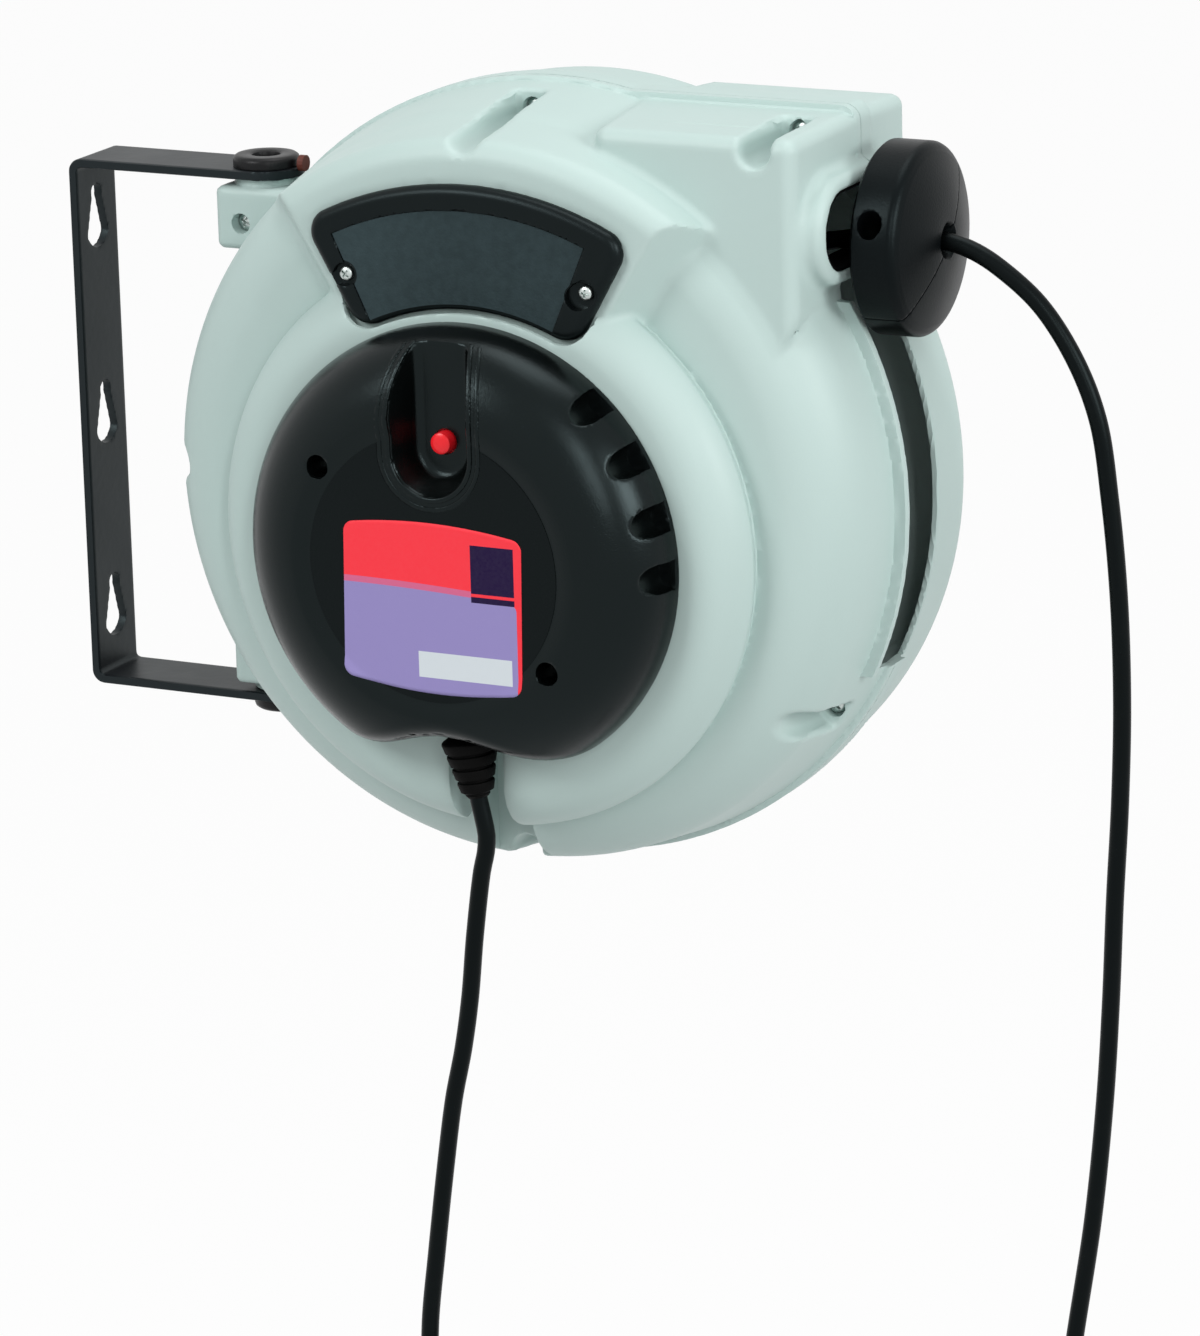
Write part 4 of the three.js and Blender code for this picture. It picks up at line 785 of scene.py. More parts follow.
def cone(radius: float, lean: float, rise: float = 0.0, start: float = 0.0) -> Form:
    """A tapered wall about the Y axis, endless along it.

    Args:
        radius: at the start depth.
        lean: how much the radius falls for each millimetre away from the seam.
        rise: height of its axis above the drum's.
        start: depth where the radius holds.

    Returns:
        Everything inside the wall.
    """
    scale = 1 / math.sqrt(1 + lean * lean)
    return Form(lambda x, y, z: (np.hypot(x, z - rise) - radius + lean * (np.abs(y) - start)) * scale)


def turned(axis: str, profile: Pairs) -> Form:
    """A closed profile turned about an axis.

    Args:
        axis: x, y or z.
        profile: (radius, place) pairs.

    Returns:
        The turned solid.
    """
    corners = np.asarray(profile, float)
    return Form(lambda x, y, z: outline_far(*on_axis(axis, x, y, z), corners))


def outline_far(a: Array, b: Array, corners: Array) -> Array:
    """Signed distance to a closed outline, below zero inside.

    It is the least distance to the outline's sides, and its sign comes from how many sides a
    level ray crosses.

    Args:
        a: the places' first coordinate.
        b: their second.
        corners: (n, 2) corners of the outline.

    Returns:
        The distances.
    """
    least = np.full(a.shape, 1e12)
    sign = np.ones(a.shape)
    for (a0, b0), (a1, b1) in zip(corners, np.roll(corners, -1, axis=0)):
        ea, eb = a1 - a0, b1 - b0
        wa, wb = a - a0, b - b0
        along = np.clip((wa * ea + wb * eb) / (ea * ea + eb * eb), 0, 1)
        least = np.minimum(least, (wa - along * ea) ** 2 + (wb - along * eb) ** 2)
        above, below, left = b >= b0, b < b1, ea * wb > eb * wa
        crossed = (above & below & left) | ~(above | below | left)
        sign = np.where(crossed, -sign, sign)
    return sign * np.sqrt(least)


def slot_along_x(y: float, z: float, half: float, high: float, x0: float, x1: float) -> Form:
    """A long rounded opening, drawn out along X.

    Args:
        y, z: its middle.
        half: half its length.
        high: half its height.
        x0, x1: where it starts and ends.

    Returns:
        The opening.
    """

    def far(px: Array, py: Array, pz: Array) -> Array:
        """The opening's distance."""
        across = np.hypot(np.maximum(np.abs(py - y) - (half - high), 0), pz - z) - high
        return np.maximum(across, beyond(px, x0, x1))

    return Form(far)


def sector(inner: float, outer: float, half: float, corner: float) -> Form:
    """Part of a ring between two radii and two ends that stand at an angle either side of +Z.

    The ends' distances are taken square to them.

    Args:
        inner: the inner radius.
        outer: the outer radius.
        half: the ends' angle in degrees.
        corner: the corners' radius.

    Returns:
        The sector.
    """
    turn = math.radians(half)
    ring = Form(lambda x, y, z: np.maximum(np.hypot(x, z) - outer, inner - np.hypot(x, z)))
    ends = Form(lambda x, y, z: np.abs(x) * math.cos(turn) - z * math.sin(turn))
    return ring.keep(ends, corner)


def sheet_table() -> Array:
    """Which sheet of surface each crossed edge of a cell belongs to.

    Corner n stands at the bits of n along x, y and z. Edge 4a + 2b + c runs along axis a, at b
    and c along the next two axes. On each face the two crossings that flank an outside corner
    belong together, so a thin wall that passes through one cell keeps its two sides apart.

    Returns:
        (256, 12) sheet numbers, a row for each pattern of corners inside.
    """
    table = np.zeros((256, 12), int)
    faces = [(axis, side) for axis in range(3) for side in (0, 1)]
    for pattern in range(256):
        group = list(range(12))
        for axis, side in faces:
            one, two = (axis + 1) % 3, (axis + 2) % 3

            def corner(u: int, v: int) -> bool:
                """Whether the face's corner at u and v is inside."""
                bits = [0, 0, 0]
                bits[axis], bits[one], bits[two] = side, u, v
                return bool(pattern >> (4 * bits[0] + 2 * bits[1] + bits[2]) & 1)

            def along(run: int, other: int) -> int:
                """The number of the face's edge that runs along an axis."""
                bits = [0, 0, 0]
                bits[axis] = side
                bits[two if run == one else one] = other
                return run * 4 + 2 * bits[(run + 1) % 3] + bits[(run + 2) % 3]

            crossed = [(along(one, v), corner(0, v) != corner(1, v)) for v in (0, 1)]
            crossed += [(along(two, u), corner(u, 0) != corner(u, 1)) for u in (0, 1)]
            open_ = [edge for edge, is_crossed in crossed if is_crossed]
            pairs = [open_] if len(open_) == 2 else []
            if len(open_) == 4:
                pairs = [[along(one, v), along(two, u)] for u in (0, 1) for v in (0, 1) if not corner(u, v)]
            for first, second in pairs:
                old, new = group[first], group[second]
                group = [new if g == old else g for g in group]
        names: dict[int, int] = {}
        for edge in range(12):
            run, b, c = edge // 4, edge >> 1 & 1, edge & 1
            bits = [0, 0, 0]
            bits[(run + 1) % 3], bits[(run + 2) % 3] = b, c
            low = 4 * bits[0] + 2 * bits[1] + bits[2]
            high = low + (4, 2, 1)[run]
            if (pattern >> low & 1) != (pattern >> high & 1):
                table[pattern, edge] = names.setdefault(group[edge], len(names))
    return table


@dataclass
class Carver:
    """Turns a form into a mesh.

    A grid of distances is laid over the form's box, first coarsely, then finely in the blocks
    near the surface. Each cell that the surface crosses gets one point, the one that lies
    closest to the planes found where the cell's edges cross the surface, and each crossed edge
    gets one face between its four cells.
    """

    pitch: float = 2.0
    block: int = 8
    hold: float = 0.06
    sharp: float = 38.0
    most: int = 190_000
    shift: float = 1.37
    batch: int = 600
    probe: float = 0.02

    def grid(self, form: Form, low: Array, shape: Array) -> Array:
        """Distances on the grid: exact near the surface, plus or minus one elsewhere.

        Args:
            form: the solid.
            low: the grid's lowest corner.
            shape: how many steps it has along each axis, in whole blocks.

        Returns:
            The distances, one more than the steps along each axis.
        """
        blocks = shape // self.block
        size = self.block * self.pitch
        at = [low[i] + (np.arange(blocks[i]) + 0.5) * size for i in range(3)]
        x, y, z = np.meshgrid(*at, indexing="ij")
        middle = form.far(x.ravel(), y.ravel(), z.ravel()).reshape(blocks)
        values = np.where(middle < 0, -1.0, 1.0)
        for axis in range(3):
            values = np.repeat(values, self.block, axis=axis)
            values = np.concatenate([values, np.take(values, [-1], axis=axis)], axis=axis)
        near = np.argwhere(np.abs(middle) < size * 0.95 + self.pitch)
        step = np.arange(self.block + 1)
        offset = np.stack(np.meshgrid(step, step, step, indexing="ij"), axis=-1).reshape(-1, 3)
        for part in np.array_split(near, max(1, len(near) // self.batch)):
            index = (part[:, None, :] * self.block + offset[None]).reshape(-1, 3)
            spot = low + index * self.pitch
            values[index[:, 0], index[:, 1], index[:, 2]] = form.far(spot[:, 0], spot[:, 1], spot[:, 2])
        return values

    def lean(self, form: Form, spot: Array) -> Array:
        """The surface's outward direction, from four nearby distances.

        Args:
            form: the solid.
            spot: (n, 3) places on its surface.

        Returns:
            (n, 3) directions of length 1.
        """
        total = np.zeros_like(spot)
        for corner in ((1, -1, -1), (-1, -1, 1), (-1, 1, -1), (1, 1, 1)):
            way = np.asarray(corner, float)
            near = spot + way * self.probe
            total += way * form.far(near[:, 0], near[:, 1], near[:, 2])[:, None]
        return total / np.maximum(np.linalg.norm(total, axis=1, keepdims=True), 1e-12)

    def thin(self, piece: bpy.types.Object, share: float) -> None:
        """Collapse the flattest faces.

        Args:
            piece: the piece.
            share: the share of its triangles that stays.
        """
        fewer = piece.modifiers.new("fewer", "DECIMATE")
        fewer.ratio = share
        whole = bpy.context.evaluated_depsgraph_get()
        mesh = bpy.data.meshes.new_from_object(piece.evaluated_get(whole))
        piece.modifiers.clear()
        piece.data = mesh
        mesh.shade_smooth()

    def crossings(self, form: Form, start: Array, shape: Array) -> tuple[Array, Array, Array, Array]:
        """Where the grid's edges cross the surface.

        An edge's crossing divides it as its two distances do. Each of its four cells is
        numbered by its place on the grid and by the sheet of surface that the edge lies on.

        Args:
            form: the solid.
            start: the grid's lowest corner.
            shape: how many steps it has along each axis.

        Returns:
            The crossings, their four cells, the faces between those cells, and the grid's shape.
        """
        values = self.grid(form, start, shape)
        spots, cells, quads = [], [], []
        inside = values < 0
        whole = np.asarray(values.shape)
        strides = np.array([whole[1] * whole[2], whole[2], 1])
        signs = inside.ravel()
        sheets = sheet_table()
        bits = [(n >> 2 & 1, n >> 1 & 1, n & 1) for n in range(8)]
        for axis in range(3):
            first = [slice(1, -1)] * 3
            second = [slice(1, -1)] * 3
            first[axis], second[axis] = slice(0, -1), slice(1, None)
            crossed = inside[tuple(first)] != inside[tuple(second)]
            index = np.argwhere(crossed) + np.array([0 if i == axis else 1 for i in range(3)])
            flat = index @ strides
            a, b = values.ravel()[flat], values.ravel()[flat + strides[axis]]
            spot = start + index * self.pitch
            spot[:, axis] += self.pitch * a / (a - b)
            one, two = strides[(axis + 1) % 3], strides[(axis + 2) % 3]
            four = np.stack([flat - one - two, flat - two, flat, flat - one], axis=1)
            edge = axis * 4 + np.array([3, 1, 0, 2])
            pattern = sum(signs[four + np.dot(bit, strides)] * (1 << n) for n, bit in enumerate(bits))
            four = four * 4 + sheets[pattern, edge[None]]
            spots.append(spot)
            cells.append(four)
            quads.append(np.where((a < 0)[:, None], four, four[:, ::-1]))
        return np.concatenate(spots), np.concatenate(cells), np.concatenate(quads), whole

    def carve(self, name: str, form: Form, low: Sequence[float], high: Sequence[float]) -> bpy.types.Object:
        """Make the form's mesh.

        A cell's point is the mean of its crossings, moved by the least squares answer to the
        planes there, which is held a little towards the mean and kept inside the cell.

        Args:
            name: the piece's name.
            form: the solid, placed from the drum's axis.
            low: lowest corner of a box that holds it.
            high: highest corner of that box.

        Returns:
            The piece, with its sharp edges marked by their angle.
        """
        start = np.asarray(low, float) - self.pitch * self.shift
        blocks = np.ceil((np.asarray(high, float) - start) / self.pitch / self.block).astype(int) + 1
        spot, cell, quad, whole = self.crossings(form, start, blocks * self.block)
        way = self.lean(form, spot)
        used, place = np.unique(cell.ravel(), return_inverse=True)
        place = place.ravel()
        count = np.bincount(place, minlength=len(used)).astype(float)

        def gather(value: Array) -> Array:
            """Each cell's sum of its crossings' values."""
            return np.bincount(place, weights=np.repeat(value, 4), minlength=len(used))

        middle = np.stack([gather(spot[:, i]) for i in range(3)], axis=1) / count[:, None]
        pull = (way * spot).sum(axis=1)
        matrix = np.empty((len(used), 3, 3))
        side = np.stack([gather(way[:, i] * pull) for i in range(3)], axis=1)
        for i in range(3):
            for j in range(i, 3):
                matrix[:, i, j] = matrix[:, j, i] = gather(way[:, i] * way[:, j])
        side -= np.einsum("nij,nj->ni", matrix, middle)
        matrix += np.eye(3) * self.hold * count[:, None, None] / 4
        points = middle + np.clip(np.linalg.solve(matrix, side[..., None])[..., 0], -self.pitch, self.pitch)
        corner = start + np.stack(np.unravel_index(used // 4, whole), axis=1) * self.pitch
        points = np.clip(points, corner - 0.02 * self.pitch, corner + 1.02 * self.pitch)
        faces = np.searchsorted(used, quad)
        piece = put_mesh(name, points + HUB_POINT, faces)
        if 2 * len(faces) > self.most:
            self.thin(piece, self.most / (2 * len(faces)))
        piece.data.set_sharp_from_angle(angle=math.radians(self.sharp))
        log.info("%s: %d points, %d faces", name, len(points), len(faces))
        return piece


# ---------------------------------------------------------------- shared places
SWIVEL_X = -158.0
MOUTH_RISE = 141.4
CASING_SCREWS = ((-3.1, 194.0), (134.5, 191.5), (147.6, -82.5), (0.0, -161.0), (-178.0, 17.0))
COVER_SCREWS = (polar(73, -53), polar(73, 127))
PANEL_SCREW_X, PANEL_SCREW_Z = 62.25, 126.5
PIN_SPREAD = 9.5  # half the way between a plug's or a socket's contacts


# ---------------------------------------------------------------- casing
@dataclass
class Casing:
    """Both halves of the casing, carved as hollow shells."""

    rise: float = 17.0
    rim: float = 189.8
    wall_radius: float = 187.0
    wall: float = 3.0
    seam: float = 0.15
    front: float = 76.0
    front_lean: float = 0.14
    front_fillet: float = 30.0
    front_start: float = 5.0
    rear: float = 66.0
    rear_lean: float = 0.07
    rear_fillet: float = 15.0
    rear_start: float = 12.0
    ring: float = 139.0
    ring_lean: float = 0.06
    ring_start: float = 78.0
    ring_front: float = 102.0
    ring_fillet: float = 23.0
    ring_root: float = 66.0
    hub_opening: float = 46.0
    pad_front: float = 94.0
    pad_angle: float = 31.5
    pad_shoulder: float = 9.5
    pad_low: float = 92.0
    box_right: float = 156.5
    box_left: float = 45.0
    box_top: float = 199.5
    box_front: float = 69.0
    box_rear: float = 59.0
    box_draw: float = 2.5
    foot: float = 3.0
    mouth: tuple[float, float, float, float] = (-10.0, 151.0, 48.5, 21.5)
    collar: float = 165.0
    collar_fillet: float = 5.0
    trough: float = 8.0
    trough_end: float = -12.0
    trough_step: float = 6.0
    trough_reach: float = 24.0
    screw_clear: float = 5.3
    screw_bore: float = 2.7
    cord_half: float = 14.5
    cord_top: float = -76.0
    arm_top: float = 148.3
    arm_bottom: float = -108.3
    lug_half: float = 19.0
    lug_neck: float = 15.5
    lug_screw: tuple[float, float] = (-5.0, 21.0)
    pin_room: float = 9.3
    slot_span: tuple[float, float] = (-64.0, 139.0)
    slot_depths: tuple[float, float] = (-22.0, 17.3)
    slot_floor: float = 176.0
    boss: float = 34.0
    boss_back: float = 70.95
    shaft_room: float = 8.3
    ribs: int = 6
    rib_span: tuple[float, float] = (33.0, 128.0)
    stop_radius: float = 46.5
    lip: float = 5.0
    pitch: float = 1.8

    def bowl(self, depth: float, lean: float, fillet: float, inset: float, start: float) -> Form:
        """A tapered bowl with a rounded shoulder and a face at a depth, on either side of the seam."""
        wall = cone(self.wall_radius - inset, lean, self.rise, start)
        return wall.keep(Form(lambda x, y, z: np.abs(y) - depth + inset), fillet - inset)

    def front_bowl(self, inset: float) -> Form:
        """The front half's bowl."""
        return self.bowl(self.front, self.front_lean, self.front_fillet, inset, self.front_start)

    def rear_bowl(self, inset: float) -> Form:
        """The rear half's bowl."""
        return self.bowl(self.rear, self.rear_lean, self.rear_fillet, inset, self.rear_start)

    def service_ring(self, inset: float) -> Form:
        """The raised ring round the service cover, down to a little inside the bowl.

        Args:
            inset: how far inside the outer surface it lies.

        Returns:
            The ring's solid.
        """
        face = Form(lambda x, y, z: np.maximum(-y - self.ring_front + inset, y + self.ring_root))
        wall = cone(self.ring - inset, self.ring_lean, start=self.ring_start)
        return wall.keep(face, self.ring_fillet - inset)

    def pad(self, inset: float) -> Form:
        """The sector that carries the arc panel: a taller piece of the bowl between two leaning ends.

        Args:
            inset: how far inside the outer surface it lies.

        Returns:
            The pad's solid.
        """
        body = self.bowl(self.pad_front, self.front_lean, self.pad_shoulder, inset, self.front_start)
        turn = math.radians(self.pad_angle)
        spread = math.tan(math.radians(4.5)) * 150 / 18
        size = math.hypot(1, spread)

        def ends(x: Array, y: Array, z: Array) -> Array:
            """The larger distance past the two ends, which spread towards the bowl."""
            across = np.abs(x) * math.cos(turn) - z * math.sin(turn)
            return (across - spread * (y + self.pad_front) + inset) / size

        return body.keep(Form(ends), 1.4).keep(Form(lambda x, y, z: self.pad_low - z))

    def housing(self, half: Half, inset: float) -> Form:
        """The block round the mouth, drawn in a little towards its face.

        Args:
            half: which half it belongs to.
            inset: how far inside the outer surface it lies.

        Returns:
            The block.
        """
        depth = self.box_front if half is Half.FRONT else self.box_rear
        lean = self.box_draw / depth
        right = Form(lambda x, y, z: x - self.box_right - 0.3 + inset + lean * np.abs(y))
        top = Form(lambda x, y, z: z - self.box_top + inset + lean * np.abs(y))
        left = Form(lambda x, y, z: self.box_left + inset + 8 * np.abs(y) / depth - x)
        face = Form(lambda x, y, z: np.abs(y) - depth + inset)
        low = slope(55, 0, -36, 55 * self.box_right / 65.7 - 36 * 115 / 65.7)
        low = low.keep(Form(lambda x, y, z: 62 - z))
        return right.keep(top, 6.0).keep(left, 6.0).keep(face, 6.5).keep(low, 3.0)

    def seam_rim(self, width: float) -> Form:
        """The raised rim along the seam.

        Args:
            width: how far it reaches from the seam.

        Returns:
            The rim, round the bowl and over the housing.
        """
        right, top = self.box_right + 1, self.box_top + 3
        band = rod("y", self.rim, -width, width, 1.0).at(dz=self.rise)
        over = box(self.box_left - 4, right, -width, width, 100, top)
        return band.join(over.keep(slope(1, 0, 0, right).keep(slope(0, 0, 1, top), 8.0)))

    def level(self, end: End) -> float:
        """Height of the face where a lug meets its arm."""
        return self.arm_top if end is End.TOP else self.arm_bottom

    def lug(self, end: End) -> Form:
        """A swivel lug: a block beside the casing and a round neck that meets the arm.

        Args:
            end: which lug.

        Returns:
            The lug, clear of the casing's inside.
        """
        face = self.level(end)
        shoulder, far = face - end.value * 3.5, face - end.value * 34
        half, heights = self.lug_half, sorted((shoulder, far))
        body = box(SWIVEL_X - half, -129, -half, half, *heights, 3.6)
        neck = rod("z", self.lug_neck, *sorted((face, far)), 0.6).at(dx=SWIVEL_X)
        return body.join(neck, 1.0).cut(rod("y", 153, -60, 60))

    def pin_hole(self, end: End) -> Form:
        """Room for the swivel pin's shank."""
        low, high = sorted((self.level(end), self.level(end) - end.value * 15))
        return rod("z", self.pin_room, low - 1, high + 1).at(dx=SWIVEL_X)

    def arms(self) -> Form:
        """Room for the bracket's arms above and below the lugs."""
        reach, top, bottom = SWIVEL_X + 18.5 + 3.4 + 0.3, self.arm_top, self.arm_bottom
        return box(-300, reach, -90, 90, top, top + 40).join(box(-300, reach, -90, 90, bottom - 40, bottom))

    def mouth_collar(self) -> Form:
        """The mouth's collar beside the housing.

        Returns:
            The collar, without its opening.
        """
        y, z, half, high = self.mouth
        across = slot_along_x(y, z, half + 4, high + 4, self.box_right - 8, 400)
        return across.keep(Form(lambda px, py, pz: px - self.collar), self.collar_fillet)

    def mouth_hole(self) -> Form:
        """The mouth's opening."""
        y, z, half, high = self.mouth
        return slot_along_x(y, z, half - 2.5, high - 2.5, self.box_right - 11, self.collar + 5)

    def stop_room(self) -> Form:
        """Room beside the mouth for the stop."""
        return rod("x", self.stop_radius, 169.6, 190.4).at(dz=MOUTH_RISE)

    def channel(self, grow: float, y0: float, y1: float) -> Form:
        """The trough that the supply cord leaves through, grown by a wall or as it is."""
        half = self.cord_half + grow
        return box(-half, half, y0, y1, -240, self.cord_top + grow)

    def seat(self, grow: float, y0: float, y1: float) -> Form:
        """The arc panel's seat, grown by a rim or as it is."""
        plan = sector(112.5 - grow, 173.5 + grow, 30.1 + grow * 0.4, 13 + grow)
        return plan.keep(box(-300, 300, y0, y1, -300, 300))

    def trough_at(self, x: float, z: float) -> Form:
        """A screw's trough: a round well, a groove that opens outwards, and the screw's clearance.

        Args:
            x, z: the screw's place.

        Returns:
            The room to cut; under the housing's top its groove opens upwards.
        """
        outward = 0.0 if z > self.box_top - 10 else math.degrees(math.atan2(x, z - self.rise))
        floor = self.trough_end - self.trough_step
        groove = box(-self.trough, self.trough, -160, floor, 0, self.trough_reach, 3.0).swung(outward)
        well = rod("y", self.trough, -160, floor, 3.0).join(groove)
        return well.join(rod("y", self.screw_clear, -30, self.trough_end)).at(x, 0, z)

    def without_rooms(self, body: Form) -> Form:
        """A half without the mouth, the stop's room and the swivel's rooms.

        Args:
            body: the half's solid.

        Returns:
            The solid that is left.
        """
        body = body.cut(self.mouth_hole(), 1.4).cut(self.stop_room()).cut(self.arms())
        return body.cut(self.pin_hole(End.TOP)).cut(self.pin_hole(End.BOTTOM))

    def front_half(self) -> Form:
        """The front half with everything cut in it.

        Returns:
            Its solid.
        """
        skin = self.front_bowl(0).join(self.service_ring(0), 1.6)
        skin = skin.join(self.pad(0), self.foot).join(self.housing(Half.FRONT, 0), self.foot)
        inner = self.front_bowl(self.wall).join(self.service_ring(self.wall))
        inner = inner.join(self.pad(self.wall)).join(self.housing(Half.FRONT, self.wall))
        slot_low, slot_high = self.slot_span
        slot_front = self.slot_depths[0]
        slot_edge = box(60, 260, slot_front - self.lip, slot_front + 1, slot_low, 115)
        lip = rod("y", self.rim, slot_front - self.lip, slot_front + 1, 1.0).at(dz=self.rise)
        lip = lip.keep(slot_edge, 0.8)
        body = skin.join(self.seam_rim(5.0), 0.8).join(lip, 0.8).cut(inner)
        column = rod("y", self.trough + self.wall, -96, 10)
        columns = joined([column.at(x, 0, z) for x, z in CASING_SCREWS])
        troughs = joined([self.trough_at(x, z) for x, z in CASING_SCREWS])
        body = body.join(columns.keep(skin)).join(self.channel(self.wall, -102, -49).keep(skin))
        body = body.join(self.mouth_collar(), self.collar_fillet)
        body = body.join(joined([self.lug(end) for end in End]))
        body = body.join(self.seat(3.0, -self.pad_front, -self.pad_front + self.wall).keep(skin))
        body = body.cut(troughs, 2.6).cut(self.channel(0, -170, -52), 1.2)
        body = body.cut(self.seat(0, -130, -self.pad_front), 0.6)
        body = body.cut(box(60, 260, slot_front, 4, slot_low, slot_high), 0.8)
        body = self.without_rooms(body.cut(rod("y", self.hub_opening, -110, -90)))
        aside, below = self.lug_screw
        for end in End:
            screw = rod("y", 5.0, -60, -11).at(SWIVEL_X + aside, 0, self.level(end) - end.value * below)
            body = body.cut(screw, 0.5)
        return body.keep(Form(lambda x, y, z: y + self.seam))

    def rear_half(self) -> Form:
        """The rear half, with a hub boss, ribs behind the drum and the slot's rear edge.

        Returns:
            Its solid.
        """
        skin = self.rear_bowl(0).join(self.housing(Half.REAR, 0), self.foot)
        inner = self.rear_bowl(self.wall).join(self.housing(Half.REAR, self.wall))
        body = skin.join(self.seam_rim(12.0), 1.2).cut(inner)
        column = rod("y", self.trough + self.wall, -10, 64).cut(rod("y", self.screw_bore, -12, 34))
        columns = joined([column.at(x, 0, z) for x, z in CASING_SCREWS])
        boss = rod("y", self.boss, 63, self.boss_back, 1.5).join(rod("y", 16, 52, 66))
        body = body.join(columns.keep(skin)).join(self.mouth_collar(), self.collar_fillet).join(boss, 1.5)
        for i in range(self.ribs):
            body = body.join(box(-2, 2, 61, 64, *self.rib_span).swung(360 / self.ribs * (i + 0.5)))
        body = body.join(joined([self.lug(end) for end in End]))
        inside = Form(lambda x, y, z: self.slot_floor - np.hypot(x, z - self.rise))
        body = body.cut(box(60, 260, -4, self.slot_depths[1], *self.slot_span).keep(inside), 1.0)
        body = self.without_rooms(body.cut(rod("y", self.shaft_room, 40, 68.2)))
        return body.keep(Form(lambda x, y, z: self.seam - y))

    def build(self) -> None:
        """Carve both halves."""
        carver = Carver(self.pitch)
        front = carver.carve("front_shell", self.front_half(), (-191, -103, -174), (171, 1, 208))
        fit(front, "casing", "casing", CASING_GREY, "front_casing")
        rear = carver.carve("rear_shell", self.rear_half(), (-191, -1, -174), (191, 72, 208))
        fit(rear, "casing", "casing", CASING_GREY, "rear_casing")


# ---------------------------------------------------------------- turned and flat pieces
def lathe(name: str, start: Sequence[float], way: Sequence[float], profile: Pairs,
          sides: int = 56) -> bpy.types.Object:
    """Turn an open profile about a line.

    Each point is start plus place times the way, plus radius times (cos, sin) of the turn in
    the plane square to the way. The first and the last point lie on the axis.

    Args:
        name: the piece's name.
        start: where the profile's place is zero, in millimetres from the drum's axis.
        way: the axis' direction.
        profile: (radius, place) pairs from one end on the axis to the other.
        sides: points round the section.

    Returns:
        The closed turned piece.
    """
    along = np.asarray(way, float) / np.linalg.norm(way)
    one = np.cross(along, [0.31, 0.92, 0.24])
    one /= np.linalg.norm(one)
    two = np.cross(along, one)
    pairs = np.asarray(profile, float)
    turn = np.linspace(0, 2 * np.pi, sides, endpoint=False)[:, None]
    ring = np.cos(turn) * one + np.sin(turn) * two
    middle = np.asarray(at_hub(*start)) + pairs[:, 1:2] * along
    body = (middle[1:-1, None, :] + pairs[1:-1, 0][:, None, None] * ring[None]).reshape(-1, 3)
    faces = capped(len(pairs) - 2, sides)
    if pairs[-1, 1] < pairs[0, 1]:
        faces = [face[::-1] for face in faces]
    piece = put_mesh(name, np.vstack([body, middle[:1], middle[-1:]]), faces)
    piece.data.set_sharp_from_angle(angle=math.radians(40))
    return piece


def plate(name: str, outline: Pairs | Array, front: float, back: float) -> bpy.types.Object:
    """A thin flat piece square to Y: its outline at the front and at the back, joined by a wall.

    Args:
        name: the piece's name.
        outline: (x, z) corners from the drum's axis, in order.
        front: the front face's place along Y.
        back: the back face's.

    Returns:
        The closed piece.
    """
    flat = np.asarray(outline, float)
    area = np.sum(flat[:, 0] * np.roll(flat[:, 1], -1) - np.roll(flat[:, 0], -1) * flat[:, 1])
    flat = flat if area > 0 else flat[::-1]
    count = len(flat)
    rings = [np.column_stack([flat[:, 0], np.full(count, y), flat[:, 1]]) for y in (front, back)]
    one = np.arange(count)
    two = (one + 1) % count
    wall = np.column_stack([one, count + one, count + two, two])
    faces = [one.tolist(), (count + one[::-1]).tolist(), *wall.tolist()]
    return put_mesh(name, np.vstack(rings) + HUB_POINT, faces, False)


def fit(piece: bpy.types.Object, body: str, slot_name: str, look: Finish, *nodes: str) -> None:
    """Ride a piece on its body, dress it and hide the nodes that it stands for.

    Args:
        piece: the piece.
        body: the body that it rides on.
        slot_name: its slot; not used.
        look: its finish.
        nodes: the CAD nodes that it replaces.
    """
    if nodes:
        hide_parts(*nodes)
    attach(piece, body)
    look.dress(piece)
    log.info("%s rides on %s", piece.name, body)


